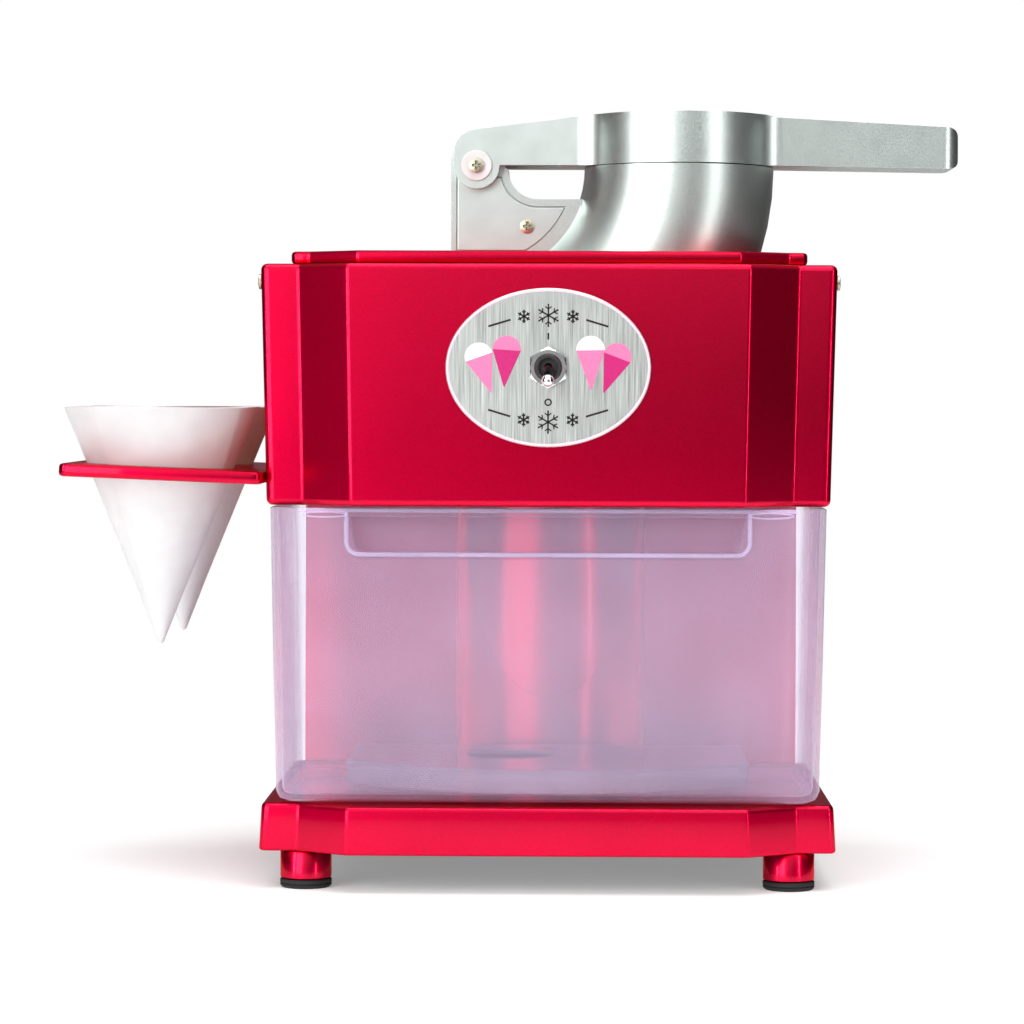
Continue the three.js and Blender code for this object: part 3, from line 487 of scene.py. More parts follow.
def body_plan(sizes, inset, round_radius, steps):
    """The body's plan at an inset: a raised front panel, a ramp down to each corner face.

    Every corner is the quadratic curve (1-t)^2 a + 2t(1-t) p + t^2 b between its two sides."""
    low, high = corners("housing_shell")
    x0, y0 = (low[0] + high[0]) / 2, low[1]
    half, back = (high[0] - low[0]) / 2, high[1] - low[1]
    shift = inset * math.tan(math.atan2(sizes.front_set_back, sizes.ramp_width) / 2)
    panel = half - sizes.ramp_width - sizes.corner_face - shift
    ramp = half - sizes.corner_face - shift
    face, side = inset + sizes.front_set_back, half - inset
    fold = sizes.fold_radius
    rounds = np.array([fold, fold, fold] + [round_radius] * 4 + [fold])
    p = np.array(
        [
            [-panel, inset], [panel, inset], [ramp, face], [side, face],
            [side, back - inset], [-side, back - inset], [-side, face], [-ramp, face],
        ]
    )
    before, after = np.roll(p, 1, 0) - p, np.roll(p, -1, 0) - p
    before /= np.linalg.norm(before, axis=1)[:, None]
    after /= np.linalg.norm(after, axis=1)[:, None]
    reach = (rounds / np.tan(np.arccos((before * after).sum(1)) / 2))[:, None]
    a, b = p + before * reach, p + after * reach
    t = np.linspace(0, 1, steps)[None, :, None]
    curve = (1 - t) ** 2 * a[:, None] + 2 * t * (1 - t) * p[:, None] + t**2 * b[:, None]
    return curve.reshape(-1, 2), (x0, y0)


def body_ring(sizes, inset, z, width):
    """One level of the body's wall at height z: the plan at an inset, its width scaled."""
    plan, (x0, y0) = body_plan(sizes, inset, max(sizes.corner_radius - inset, 1), 9)
    return np.stack([x0 + plan[:, 0] * width, y0 + plan[:, 1], np.full(len(plan), z)], -1)


# ---------------------------------------------------------------- sizes a user would change
def length(name, text, value):
    """A length given in millimetres and held in metres."""
    return bpy.props.FloatProperty(
        name=name, description=text, default=value * MM, min=0.0, subtype="DISTANCE", unit="LENGTH"
    )


def colour(name, text, code):
    """A colour given as an sRGB hex value and held as a linear one."""
    return bpy.props.FloatVectorProperty(
        name=name, description=text, default=linear(code)[:3], min=0.0, max=1.0, subtype="COLOR"
    )


def millimetres(scene):
    """The panel's sizes in millimetres, by name."""
    group = scene.shaved_ice_sizes
    return SimpleNamespace(**{name: getattr(group, name) / MM for name in group.__annotations__})


class ShavedIceSizes(bpy.types.PropertyGroup):
    """Sizes that the frame leaves open"""

    fold_radius: length("Fold radius", "Folds beside the front panel", 3.5)
    corner_radius: length("Corner radius", "Upright corners", 4.0)
    ramp_width: length("Ramp width", "Each ramp beside the front panel", 23.3)
    corner_face: length("Corner face", "Flat beside each corner", 17.2)
    front_set_back: length("Set back", "Corner faces behind the front panel", 16.0)
    roof_round: length("Roof rounding", "Round along the housing's edges", 3.0)
    wall: length("Wall", "Housing wall", 3.0)
    draft: length("Draft", "How much wider the housing is at its top", 6.0)
    flare: length("Flare", "How much wider the base is at its foot", 2.4)
    cast_edge: length("Cast edge", "Rounding of cast edges", 2.1)
    bin_edge: length("Bin edge", "Rounding of the drawer's edges", 0.7)
    paper: length("Paper", "Thickness of the cone paper", 0.5)
    screw_slot: length("Screw recess", "Width of a screw's cross", 1.0)


class ShavedIceLooks(bpy.types.PropertyGroup):
    """Light and colours"""

    floor_tone: bpy.props.FloatProperty(
        name="Floor", description="Brightness of the floor", default=0.9, subtype="FACTOR"
    )
    key_power: bpy.props.FloatProperty(
        name="Key light", description="Power of the overhead light", default=40.0, unit="POWER"
    )
    front_glow: bpy.props.FloatProperty(
        name="Front glow",
        description="Brightness of the studio in front",
        default=0.4,
        subtype="FACTOR",
    )
    lacquer: colour("Lacquer", "The candy lacquer at its brightest", "#ee003e")
    aluminium: colour("Aluminium", "Bare cast aluminium", "#dfe9e5")
    plastic: colour("Clear plastic", "The drawer's clear plastic", "#ecd8fc")
    paper: colour("Paper", "The cones' waxed paper", "#d9d8d8")
    ink_pink: colour("Pink ink", "Printed pink", "#ee78a8")
    ink_magenta: colour("Magenta ink", "Printed magenta", "#c2126e")
    ink_white: colour("White ink", "Printed white", "#ffffff")
    ink_black: colour("Black ink", "Printed black", "#191919")
    enamel_pale_pink: colour("Pale enamel", "The bead round the badge", "#f6cfe0")


# ---------------------------------------------------------------- operators
class SHAVED_ICE_OT_stage(bpy.types.Operator):
    """A pale floor, soft studio light and the camera"""

    bl_idname = "shaved_ice.stage"
    bl_label = "Stage"

    def execute(self, context):
        looks = context.scene.shaved_ice_looks
        self.camera()
        self.floor(looks)
        self.studio(looks)
        aim = (0, 0, 0.2)
        self.lamp("overhead", (0.0, -0.3, 2.1), aim, (2.2, 1.8), looks.key_power)
        self.lamp("left_softbox", (-1.0, -1.85, 0.4), aim, (1.0, 1.6), 21)
        self.lamp("left_strip", (-1.45, -1.2, 0.6), aim, (0.3, 1.3), 9)
        self.lamp("right_strip", (1.3, -1.25, 0.5), aim, (0.14, 1.3), 6)
        self.lamp("right_high", (0.8, -1.7, 1.5), aim, (1.5, 0.5), 4)
        return {"FINISHED"}

    def camera(self):
        """A level camera 1.67 m off, swung one degree, its view shifted down."""
        data = bpy.data.cameras.new("studio_camera")
        data.lens, data.sensor_width = 123.05, 36
        data.shift_x, data.shift_y = -0.003, -0.1133
        camera = bpy.data.objects.new("studio_camera", data)
        turn = Matrix.Rotation(math.radians(1), 4, "Z") @ Matrix.Rotation(math.pi / 2, 4, "X")
        roll = Matrix.Rotation(math.radians(0.2), 4, "Z")
        camera.matrix_world = Matrix.Translation((0.0288, -1.669, 0.225)) @ turn @ roll
        bpy.context.scene.collection.objects.link(camera)
        bpy.context.scene.camera = camera
        bpy.context.scene.view_settings.view_transform = "Standard"

    def floor(self, looks):
        """A flat sheet of pale seamless paper that fades out away from the machine."""
        s = 9000
        sheet = [[-s, -s, 0], [s, -s, 0], [s, s, 0], [-s, s, 0]]
        mesh = surface_mesh("floor", sheet, [[0, 1, 2, 3]])
        material, tree, shader, spot = surface(
            "paper_seamless_floor", Roughness=0.7, Emission_Strength=0.25
        )
        shader.inputs["Emission Color"].default_value = (1, 1, 1, 1)
        tone = looks.floor_tone
        shader.inputs["Base Color"].default_value = (tone, tone, tone, 1)
        reach = add(tree, "ShaderNodeVectorMath", {"operation": "LENGTH"}, {0: spot})
        tree.links.new(
            spread(tree, reach.outputs["Value"], 1.0, 0.0, 0.45, 1.2), shader.inputs["Alpha"]
        )
        floor = bpy.data.objects.new("floor", mesh)
        floor.data.materials.append(material)
        bpy.context.scene.collection.objects.link(floor)

    def studio(self, looks):
        """White behind; for light, bright in front and above, dark at the sides."""
        world = bpy.data.worlds.new("studio")
        world.use_nodes = True
        tree = world.node_tree
        tree.nodes.clear()
        way = add(tree, "ShaderNodeTexCoord").outputs["Generated"]
        glow = None
        for toward, start, end, low, high in (
            ((-0.45, -0.88, 0.15), 0.72, 0.98, 0.04, looks.front_glow),
            ((0.0, -0.87, 0.5), 0.82, 0.98, 0.0, 0.6),
            ((0.0, -0.3, 0.95), 0.4, 0.9, 0.0, 0.7),
            ((-0.35, 0.93, 0.0), 0.5, 0.95, 0.0, 0.2),
        ):
            dot = add(
                tree, "ShaderNodeVectorMath", {"operation": "DOT_PRODUCT", 1: toward}, {0: way}
            )
            part = spread(tree, dot.outputs["Value"], low, high, start, end)
            if glow is not None:
                total = add(tree, "ShaderNodeMath", {"operation": "ADD"}, {0: glow, 1: part})
                part = total.outputs[0]
            glow = part
        light = add(tree, "ShaderNodeBackground", {}, {"Strength": glow})
        seen = add(tree, "ShaderNodeBackground", {"Strength": 1.0, "Color": (1, 1, 1, 1)})
        rays = add(tree, "ShaderNodeLightPath")
        mix = add(
            tree,
            "ShaderNodeMixShader",
            {},
            {0: rays.outputs["Is Camera Ray"], 1: light.outputs[0], 2: seen.outputs[0]},
        )
        add(tree, "ShaderNodeOutputWorld", {}, {"Surface": mix.outputs[0]})
        bpy.context.scene.world = world

    def lamp(self, name, at, target, size, power):
        """A rectangular softbox at a place, turned to its target."""
        data = bpy.data.lights.new(name, "AREA")
        data.shape, data.energy = "RECTANGLE", power
        data.size, data.size_y = size
        lamp = bpy.data.objects.new(name, data)
        lamp.location = at
        aim = Vector(target) - Vector(at)
        lamp.rotation_euler = aim.to_track_quat("-Z", "Y").to_euler()
        bpy.context.scene.collection.objects.link(lamp)


class SHAVED_ICE_OT_enclosure(bpy.types.Operator):
    """The pressed steel housing, its base, the top cover and the back wall of the bay"""

    bl_idname = "shaved_ice.enclosure"
    bl_label = "Housing and base"

    def execute(self, context):
        sizes = millimetres(context.scene)
        self.housing(sizes)
        self.base(sizes)
        rounded_node("top_tier", "top_cover", "red_paint", "red_paint", 0.8)
        rounded_node("bay_back_wall", "rear_casing", "red_paint", "red_paint", 0.8)
        rounded_node("deflector_tongue", "ice_deflector", "red_paint", "red_paint", 0.6)
        rounded_node("cone_shelf", "cone_holder", "red_paint", "red_paint", 0.7)
        return {"FINISHED"}

    def housing(self, sizes):
        """Rings up the inside, over the roof's opening and down the rounded outside.

        At height z a ring is the plan at its inset, narrowed by the draft in line with how far
        z is below the top."""
        low, high = corners("housing_shell")
        z0, z1, r, wall = low[2], high[2], sizes.roof_round, sizes.wall
        opening, foot_share = 26, 0.9
        out, up = quarter(r)
        inset = [wall, wall, opening, opening, *(r - out), *(r - up) * foot_share]
        level = [z0, z1 - wall, z1 - wall, z1, *(z1 - r + up), *(z0 + r - out)]
        narrow = sizes.draft / (high[0] - low[0]) / (z1 - z0)
        rings = [body_ring(sizes, i, z, 1 - narrow * (z1 - z)) for i, z in zip(inset, level)]
        faces = grid_faces(len(rings), len(rings[0]), closed=True)
        mesh = surface_mesh("housing_skin", np.stack(rings), faces, 35)
        place("housing_skin", mesh, "red_paint", ["housing_shell"], "red_paint")

    def base(self, sizes):
        """Rings down the rounded outside of the base and back up its inside.

        At height z a ring is the plan at its inset, narrowed by the flare in line with how far
        z is above the foot."""
        low, high = corners("housing_shell")
        width = high[0] - low[0]
        low, high = corners("base_shell")
        z0, z1, wall, top_round, foot_round = low[2], high[2], 2.6, 2.2, 1.4
        out, up = quarter(top_round)
        foot_out, foot_up = quarter(foot_round)
        inset = [*(top_round - out), *(foot_round - foot_up), wall, wall]
        level = [*(z1 - top_round + up), *(z0 + foot_round - foot_out), z0, z1 - wall]
        narrow = sizes.flare / width / (z1 - z0)
        rings = [body_ring(sizes, i, z, 1 - narrow * (z - z0)) for i, z in zip(inset, level)]
        faces = grid_faces(len(rings), len(rings[0]))
        mesh = surface_mesh("base_skin", np.stack(rings), faces, 35)
        place("base_skin", mesh, "red_paint", ["base_shell"], "red_paint")


class SHAVED_ICE_OT_feet(bpy.types.Operator):
    """Four lacquered posts on grooved rubber feet"""

    bl_idname = "shaved_ice.feet"
    bl_label = "Feet"

    def execute(self, context):
        for end in ("front_left", "front_right", "rear_left", "rear_right"):
            low, high = corners(f"foot_post_{end}")
            r, h = (high[0] - low[0]) / 2, high[2] - low[2]
            at = ((low[0] + high[0]) / 2, (low[1] + high[1]) / 2, low[2])
            profile = [[0, 0], [r - 0.5, 0], [r, 0.5], [r, h - 0.8], [r - 0.6, h], [0, h]]
            mesh = turned_mesh(f"post_{end}", profile, at, (0, 0, 1), 64)
            place(f"post_{end}", mesh, "red_paint", [f"foot_post_{end}"], "red_paint")
            low, high = corners(f"rubber_foot_{end}")
            r, h = (high[0] - low[0]) / 2, high[2] - low[2]
            profile = [[0, 0.5], [r - 4, 0.5], [r - 3.4, 0], [r - 1, 0], [r - 0.2, 0.7], [r, 1.6]]
            profile += [[r - 0.5, 1.9], [r, 2.2], [r, h - 0.5], [r - 0.5, h], [0, h]]
            mesh = turned_mesh(f"pad_{end}", profile, (*at[:2], 0), (0, 0, 1), 64)
            place(f"pad_{end}", mesh, "rubber", [f"rubber_foot_{end}"], "rubber")
        return {"FINISHED"}


class SHAVED_ICE_OT_castings(bpy.types.Operator):
    """The cast feed elbow with its bracket, the lever and the plunger"""

    bl_idname = "shaved_ice.castings"
    bl_label = "Elbow and lever"

    def execute(self, context):
        sizes = millimetres(context.scene)
        cast = ("cast_aluminium", "cast_aluminium")
        rounded_node("feed_elbow", "feed_chute", "turned_aluminium", "cast_aluminium", 0.7)
        rounded_node("lever_casting", "feed_lever", *cast, sizes.cast_edge, 4)
        rounded_node("plunger_stem", "plunger_arm", *cast, 1.0)
        rounded_node("plunger_face", "plunger_head", *cast, 1.0)
        rounded_node("bracket_lid", "bracket_cover", *cast, 0.35)
        rounded_node("pivot_ring", "pivot_washer", "grey_plastic", "grey_plastic", 0.3)
        rounded_node("pivot_rod", "pivot_pin", "steel", "steel", 0.5)
        return {"FINISHED"}


def cross_screw(name, node, axis, slot_width):
    """A pan head with a cross recess, on its shank.

    Height over the head is dome(r) - depth * cross(u, v), where cross is one inside two
    bars at right angles and falls to nothing over their edges."""
    low, high = corners(node)
    axis = np.array(axis, float)
    middle = (low + high) / 2
    across = (high - low)[np.abs(axis) < 0.5]
    radius = across.max() / 2
    tip = float(np.where(axis > 0, high, low)[np.abs(axis) > 0.5][0])
    centre = np.where(np.abs(axis) > 0.5, tip, middle)
    rise, thick, depth = radius * 0.16, radius * 0.25, radius * 0.6
    rings = np.concatenate([[0], np.linspace(0.04, 0.72, 18), np.linspace(0.76, 1, 7)]) * radius
    shank, depth_in = radius * 0.5, float((high - low)[np.abs(axis) > 0.5][0])
    profile = np.stack([rings, -rise * (rings / radius) ** 2.5], -1).tolist()
    profile += [[radius, -rise - thick], [shank, -rise - thick]]
    profile += [[shank, -depth_in], [0, -depth_in]]

    def recess(r, a, t):
        u, v = np.abs(r * np.cos(t)), np.abs(r * np.sin(t))
        near, far = np.minimum(u, v), np.maximum(u, v)
        inside = np.clip((slot_width / 2 + 0.1 - near) / 0.2, 0, 1)
        inside = inside * np.clip((radius * 0.62 - far) / 0.25, 0, 1)
        top = np.arange(len(r))[:, None] < len(rings) - 1
        return r, a - depth * inside * top

    mesh = turned_mesh(name, profile, centre, axis, 96, recess)
    place(name, mesh, "steel", [node], "steel")


class SHAVED_ICE_OT_screws(bpy.types.Operator):
    """Six pan-head screws with cross recesses"""

    bl_idname = "shaved_ice.screws"
    bl_label = "Screws"

    def execute(self, context):
        sizes = millimetres(context.scene)
        cross_screw("pivot_fixing", "pivot_screw", (0, -1, 0), sizes.screw_slot)
        cross_screw("lid_fixing", "bracket_screw", (0, -1, 0), sizes.screw_slot)
        for side, way in (("left", -1), ("right", 1)):
            for end in ("front", "rear"):
                name = f"side_fixing_{end}_{side}"
                cross_screw(name, f"side_screw_{end}_{side}", (way, 0, 0), sizes.screw_slot)
        return {"FINISHED"}


class SHAVED_ICE_OT_drawer(bpy.types.Operator):
    """The clear drawer and its raised floor"""

    bl_idname = "shaved_ice.drawer"
    bl_label = "Drawer"

    def execute(self, context):
        sizes = millimetres(context.scene)
        clear = ("clear_plastic", "clear_plastic")
        rounded_node("drawer_tub", "clear_bin", *clear, sizes.bin_edge)
        rounded_node("drawer_tray", "bin_insert", "tray_plastic", "clear_plastic", 0.9)
        low, high = corners("clear_bin")
        x, top, half, drop, r = (low[0] + high[0]) / 2, high[2] - 1.6, 91.5, 19.5, 6.0
        foot = top - drop
        path = [
            [x - half, top],
            *arc((x - half + r, foot + r), r, 180, 270, 10),
            *arc((x + half - r, foot + r), r, 270, 360, 10),
            [x + half, top],
        ]
        self.lip("pull_lip", path, low[1] + 1.0, 1.0)
        rim = [[low[0] + 14, high[2] - 1.1], [high[0] - 14, high[2] - 1.1]]
        self.lip("rim_lip", rim, low[1] + 1.0, 0.9)
        for side, name in ((-1, "left"), (1, "right")):
            t = np.linspace(0, TAU, 49)
            notch = [x + side * 101 + 10 * np.cos(t), high[2] - 3.0 + 1.2 * np.sin(t)]
            self.lip(f"rim_notch_{name}", np.stack(notch, -1), low[1] + 0.5, 0.4)
        return {"FINISHED"}

    def lip(self, name, path, y, radius):
        """A round lip carried along a path in (x, z): centre + radius (cos s * n + sin s * y),
        where n is square to the path at each point."""
        path = np.array(path, float)
        along = np.gradient(path, axis=0)
        along /= np.linalg.norm(along, axis=1)[:, None]
        s = np.arange(16) * TAU / 16
        normal = np.stack([-along[:, 1], along[:, 0]], -1)
        flat = path[:, None] + radius * np.cos(s)[None, :, None] * normal[:, None]
        depth = np.broadcast_to(y + radius * np.sin(s), flat.shape[:2])
        points = np.stack([flat[..., 0], depth, flat[..., 1]], -1)
        mesh = surface_mesh(name, points, grid_faces(len(path), 16))
        place(name, mesh, "thick_plastic", [], "clear_plastic", "drawer")


class SHAVED_ICE_OT_cones(bpy.types.Operator):
    """Two rolled paper cones"""

    bl_idname = "shaved_ice.cones"
    bl_label = "Paper cones"

    def execute(self, context):
        sizes = millimetres(context.scene)
        for place_name, turn in (("front", 4.0), ("rear", 2.2)):
            node = f"paper_cone_{place_name}"
            low, high = corners(node)
            rim, h = (high[0] - low[0]) / 2, high[2] - low[2]
            at = ((low[0] + high[0]) / 2, (low[1] + high[1]) / 2, low[2])
            tip, start, seam, least = 1.3, 1.2, 0.4, 0.02
            up = np.linspace(0, 1, 30)
            outside = np.stack([tip + (rim - tip - seam) * up, start + (h - start) * up], -1)
            inside = np.maximum(outside[::-1] - (sizes.paper, 0), least)
            profile = np.concatenate([[[0, 0.3]], outside, inside, [[0, 3.0]]])

            def rolled(r, a, t):
                """Past the seam the radius falls by one sheet, and the rim dips a little."""
                lap = np.clip(((t - turn) % TAU) / 0.8, 0, 1)
                share = a / h
                rolled_in = r - seam * lap * np.clip(share * 4, 0, 1) * (r > 2)
                dip = 0.35 * (1 + np.sin(3 * t + turn)) * np.clip(share, 0, 1) ** 8
                return np.maximum(rolled_in, 0), a - dip

            mesh = turned_mesh(f"paper_roll_{place_name}", profile, at, (0, 0, 1), 128, rolled)
            place(f"paper_roll_{place_name}", mesh, "white_paper", [node], "white_paper")
        return {"FINISHED"}


INK = 0.12  # how far the ink stands proud, in millimetres


def badge_place():
    """The middle of the badge's front, and the front's depth, in millimetres."""
    low, high = corners("badge_plate")
    return (low[0] + high[0]) / 2, (low[2] + high[2]) / 2, low[1]


def print_on_badge(name, outlines, material):
    """Outlines in millimetres from the badge's middle, laid on it as a film of ink."""
    x, z, y = badge_place()
    shapes = [flat_prism(np.asarray(o, float) + (x, z), y - INK, y + 0.05) for o in outlines]
    points, faces = merged(shapes)
    place(name, surface_mesh(name, points, faces, 30), material, [], "brushed_aluminium", "body")


def bar(a, b, width):
    """A thin bar from a to b as a four-sided outline."""
    a, b = np.array(a, float), np.array(b, float)
    across = np.array([-(b - a)[1], (b - a)[0]]) / np.linalg.norm(b - a) * width / 2
    return [a - across, b - across, b + across, a + across]


def crystal(x, z, r):
    """An ice crystal of radius r: three bars through its middle and a barb each side of an arm."""
    turns = [math.pi * (k / 3 + 1 / 6) for k in range(6)]
    bars = []
    for way in turns[:3]:
        c, s = r * math.cos(way), r * math.sin(way)
        bars.append(bar((x - c, z - s), (x + c, z + s), 0.7))
    for way in turns:
        root = (x + 0.55 * r * math.cos(way), z + 0.55 * r * math.sin(way))
        for lean in (way - 0.9, way + 0.9):
            end = (root[0] + 0.35 * r * math.cos(lean), root[1] + 0.35 * r * math.sin(lean))
            bars.append(bar(root, end, 0.55))
    return bars


class SHAVED_ICE_OT_badge(bpy.types.Operator):
    """The brushed oval badge with its printed cones and generic marks"""

    bl_idname = "shaved_ice.badge"
    bl_label = "Badge"

    def execute(self, context):
        low, high = corners("badge_plate")
        cx, cz, y = badge_place()
        a, b = (high[0] - low[0]) / 2, (high[2] - low[2]) / 2
        depth = high[1] - low[1]
        t = np.arange(160) * TAU / 160
        hole, edge = 6.6, 0.3
        rows = []
        for rx, rz, back in (
            (hole, hole, 0),
            (hole, hole, depth),
            (a, b, depth),
            (a, b, edge),
            (a - edge, b - edge, 0),
        ):
            rows.append(np.stack([cx + rx * np.cos(t), 0 * t + y + back, cz + rz * np.sin(t)], -1))
        faces = grid_faces(len(rows), len(t), closed=True)
        mesh = surface_mesh("oval_badge", np.stack(rows), faces, 35)
        place("oval_badge", mesh, "brushed_aluminium", ["badge_plate"], "brushed_aluminium")

        bead = []  # a thin raised line inside the badge's edge: an ellipse carrying a half round
        for s in np.radians([0, 45, 90, 135, 180, 270]):
            in_by = 0.9 - 0.55 * math.cos(s)
            rx, rz = a - in_by, b - in_by
            lift = y - 0.25 * max(math.sin(s), -0.2)
            bead.append(np.stack([cx + rx * np.cos(t), 0 * t + lift, cz + rz * np.sin(t)], -1))
        mesh = surface_mesh("badge_bead", np.stack(bead), grid_faces(6, len(t), closed=True))
        place("badge_bead", mesh, "enamel_pale_pink", [], "brushed_aluminium", "body")

        cones = {"ink_pink": [], "ink_magenta": [], "ink_white": []}
        for (x, z), (tip_x, tip_z), ball, cup in (
            ((-31.2, 4.7), (-25.6, -11.2), "ink_white", "ink_pink"),
            ((-18.7, 7.9), (-19.8, -8.6), "ink_pink", "ink_magenta"),
            ((19.0, 7.9), (19.3, -9.9), "ink_white", "ink_pink"),
            ((31.0, 4.7), (25.0, -11.2), "ink_pink", "ink_magenta"),
        ):
            lean, r = math.degrees(math.atan2(x - tip_x, z - tip_z)), 6.4
            cones[ball].append(arc((x, z), r, -lean, 180 - lean, 20))
            edge = arc((x, z), r, 180 - lean, 360 - lean, 2)
            cones[cup].append([edge[0], (tip_x - 0.25, tip_z), (tip_x + 0.25, tip_z), edge[1]])
        for name, outlines in cones.items():
            print_on_badge(f"badge_{name}", outlines, name)

        print_on_badge("badge_on_mark", [bar((0, 12.6), (0, 15.6), 0.8)], "ink_black")
        rows = []
        for radius, back in ((1.7, -INK), (1.0, -INK), (1.0, 0.05), (1.7, 0.05)):
            ring = np.array(arc((cx, cz - 15.6), radius, 0, 360, 33)[:-1])
            rows.append(np.stack([ring[:, 0], np.full(32, y + back), ring[:, 1]], -1))
        mesh = surface_mesh("badge_off_mark", np.stack(rows), grid_faces(4, 32, closed=True), 30)
        place("badge_off_mark", mesh, "ink_black", [], "brushed_aluminium", "body")

        flakes = []  # plain six-armed ice crystals above and below the switch
        for x, above, below, r in ((0, 23.5, 24.5, 5.2), (-11, 23, 23.5, 3), (11, 23, 23.5, 3)):
            flakes += crystal(x, above, r) + crystal(x, -below, r)
        for side in (-1, 1):
            flakes.append(bar((side * 17, 21.5), (side * 27, 18.5), 0.9))
            flakes.append(bar((side * 17, -22), (side * 27, -19), 0.9))
        print_on_badge("badge_crystals", flakes, "ink_black")
        return {"FINISHED"}


class SHAVED_ICE_OT_switch(bpy.types.Operator):
    """The toggle switch: threaded bushing, chamfered nut and ball-ended bat"""

    bl_idname = "shaved_ice.switch"
    bl_label = "Toggle switch"

    def execute(self, context):
        low, high = corners("toggle_bushing")
        cx, cz = (low[0] + high[0]) / 2, (low[2] + high[2]) / 2
        r, bore, front, deep = (high[0] - low[0]) / 2, 4.3, low[1], high[1] - low[1]
        pitch, groove, chamfer = 0.5, 0.28, 0.4
        turns = np.arange(0.6, 5.4, pitch / 2)
        thread = [[r - groove * (i % 2), along] for i, along in enumerate(turns)]
        profile = [[bore, chamfer], [bore + chamfer, 0], [r - chamfer, 0], *thread]
        profile += [[r, deep], [bore, deep]]
        mesh = self.ring("threaded_collar", profile, (cx, front, cz), 64)
        place("threaded_collar", mesh, "black_plastic", ["toggle_bushing"], "chrome")

        low, high = corners("toggle_nut")
        flat, thick = (high[0] - low[0]) / 2, high[1] - low[1]
        peak = (high[2] - low[2]) / 2

        def hexagon(radius, along, t):
            """The lesser of a hexagon's radius at this angle and a chamfer cone's at this depth."""
            turn = (t + math.pi / 6) % (math.pi / 3) - math.pi / 6
            six = flat / np.cos(turn)
            near = np.minimum(along, thick - along)
            cone = peak - 1.5 + near * 1.6
            return np.where(radius > flat * 0.9, np.minimum(six, cone), radius), along

        near = (0, 0.3, 0.6, 0.95)
        across = [[peak, s] for s in (*near, *(thick - s for s in reversed(near)))]
        hole = r + 0.3
        profile = [[hole, 0], *across, [hole, thick]]
        mesh = self.ring("chamfered_nut", profile, (cx, low[1], cz), 96, hexagon)
        place("chamfered_nut", mesh, "chrome", ["toggle_nut"], "chrome")

        rounded_node("switch_box", "toggle_case", "black_plastic", "black_plastic", 0.6)
        panel = corners("housing_shell")[0][1]
        slot, rim, near, far = 2.05, bore - 0.1, panel - front - 1.9, panel - front - 1.2
        seal = [[slot, near], [rim, near], [rim, far], [slot, far]]
        mesh = self.ring("collar_seal", seal, (cx, front, cz), 48)
        place("collar_seal", mesh, "black_plastic", [], "black_plastic", "body")

        tilt, pivot, ball, span = math.radians(18), (cx, panel - 1.5, cz), 2.8, 22.0
        axis = (0, -math.cos(tilt), -math.sin(tilt))
        curve = [[0, -2], [1.6, -1.7], [1.6, 4.5], [1.75, 8], [2.2, 13], [2.5, span - 2 * ball]]
        round_end = np.radians(np.linspace(-20, 90, 12))
        curve += [[ball * math.cos(s), span - ball + ball * math.sin(s)] for s in round_end]
        mesh = turned_mesh("switch_bat", curve, pivot, axis, 48)
        place("switch_bat", mesh, "chrome", ["toggle_bat"], "chrome")
        return {"FINISHED"}

    def ring(self, name, profile, at, facets, change=None):
        """A closed profile turned about the depth axis: a surface with a hole through it."""
        profile = np.asarray(profile, float)
        t = np.arange(facets) * TAU / facets
        radius, along = np.repeat(profile[:, :1], facets, 1), np.repeat(profile[:, 1:], facets, 1)
        if change:
            radius, along = change(radius, along, np.broadcast_to(t, radius.shape))
        points = np.stack(
            [at[0] + radius * np.cos(t), at[1] + along, at[2] + radius * np.sin(t)], -1
        )
        return surface_mesh(name, points, grid_faces(len(profile), facets, closed=True), 30)


class SHAVED_ICE_OT_rear(bpy.types.Operator):
    """The vent cover, a dark pleated sheet behind its slots as painted shade, and the cord gland on
    the back
    """

    bl_idname = "shaved_ice.rear"
    bl_label = "Back fittings"

    def execute(self, context):
        black = ("black_plastic", "black_plastic")
        rounded_node("vent_grille", "rear_vent_cover", *black, 0.4)
        rounded_node("lead_gland", "cord_gland", *black, 0.6)
        low, high = corners("rear_vent_cover")
        # a black pleated sheet just behind the cover: painted shade, so the slots look dark inside
        # instead of showing the red wall
        edge, pleat = 4.0, 1.6
        z = np.linspace(low[2] + edge, high[2] - edge, 241)
        wave = low[1] + 0.35 + 0.12 * np.cos(TAU * z / pleat)  # fine pleats, one above another
        y, z = np.concatenate([wave, wave[::-1] - 0.15]), np.concatenate([z, z[::-1]])
        sides = [np.stack([0 * y + x, y, z], -1) for x in (low[0] + edge, high[0] - edge)]
        mesh = surface_mesh("vent_gauze", np.stack(sides), grid_faces(2, len(y)), 60)
        place("vent_gauze", mesh, "rubber", [], "black_plastic", "body")
        return {"FINISHED"}


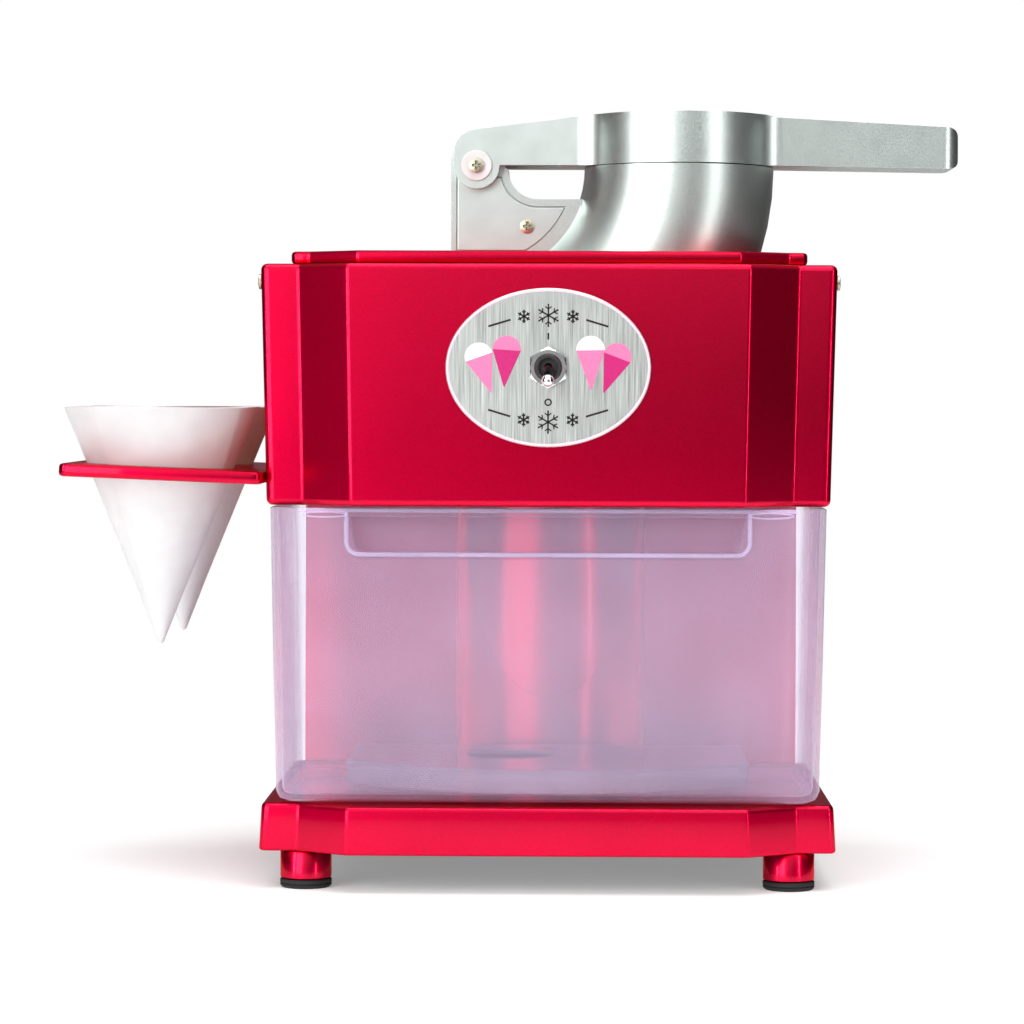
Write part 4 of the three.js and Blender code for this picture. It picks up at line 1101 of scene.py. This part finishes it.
NODE_FINISH = {
    "base_bottom_plate": "black_plastic",
    "housing_floor": "black_plastic",
    "interlock_switch": "black_plastic",
    "discharge_hood": "grey_plastic",
    "blade_disc": "cast_aluminium",
    "shaver_blade_1": "steel",
    "shaver_blade_2": "steel",
    "shaver_blade_3": "steel",
    "drive_shaft": "steel",
    "shaft_bearing": "bronze",
    "driven_pulley": "black_plastic",
    "drive_belt": "rubber",
    "motor_pulley": "black_plastic",
    "motor_shaft": "steel",
    "motor_armature": "copper_winding",
    "motor_can": "steel",
    "motor_front_bell": "steel",
    "motor_rear_bell": "steel",
    "cooling_fan": "black_plastic",
    "motor_mount": "grey_plastic",
}


class SHAVED_ICE_OT_works(bpy.types.Operator):
    """Finishes for the parts inside that keep their own shape"""

    bl_idname = "shaved_ice.works"
    bl_label = "Works inside"

    def execute(self, context):
        for node, material in NODE_FINISH.items():
            for slot in frame["nodes"][node].material_slots:
                slot.material = finish(material)
        return {"FINISHED"}


class SHAVED_ICE_PT_panel(bpy.types.Panel):
    """Lists the steps, the sizes and the looks"""

    bl_idname = "SHAVED_ICE_PT_panel"
    bl_label = "Shaved ice machine"
    bl_space_type = "VIEW_3D"
    bl_region_type = "UI"
    bl_category = "Shaved Ice"

    def draw(self, context):
        for step in STEPS:
            self.layout.operator(step.bl_idname)
        for group in (context.scene.shaved_ice_sizes, context.scene.shaved_ice_looks):
            for name in group.__annotations__:
                self.layout.prop(group, name)


STEPS = (
    SHAVED_ICE_OT_stage,
    SHAVED_ICE_OT_enclosure,
    SHAVED_ICE_OT_feet,
    SHAVED_ICE_OT_castings,
    SHAVED_ICE_OT_screws,
    SHAVED_ICE_OT_drawer,
    SHAVED_ICE_OT_cones,
    SHAVED_ICE_OT_badge,
    SHAVED_ICE_OT_switch,
    SHAVED_ICE_OT_rear,
    SHAVED_ICE_OT_works,
)
CLASSES = (ShavedIceSizes, ShavedIceLooks, *STEPS, SHAVED_ICE_PT_panel)


def register():
    for one in CLASSES:
        bpy.utils.register_class(one)
    bpy.types.Scene.shaved_ice_sizes = bpy.props.PointerProperty(type=ShavedIceSizes)
    bpy.types.Scene.shaved_ice_looks = bpy.props.PointerProperty(type=ShavedIceLooks)


def unregister():
    del bpy.types.Scene.shaved_ice_looks
    del bpy.types.Scene.shaved_ice_sizes
    for one in reversed(CLASSES):
        bpy.utils.unregister_class(one)


def main():
    """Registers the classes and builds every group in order."""
    register()
    for step in STEPS:
        family, action = step.bl_idname.split(".")
        getattr(getattr(bpy.ops, family), action)()


if __name__ == "__main__":
    main()
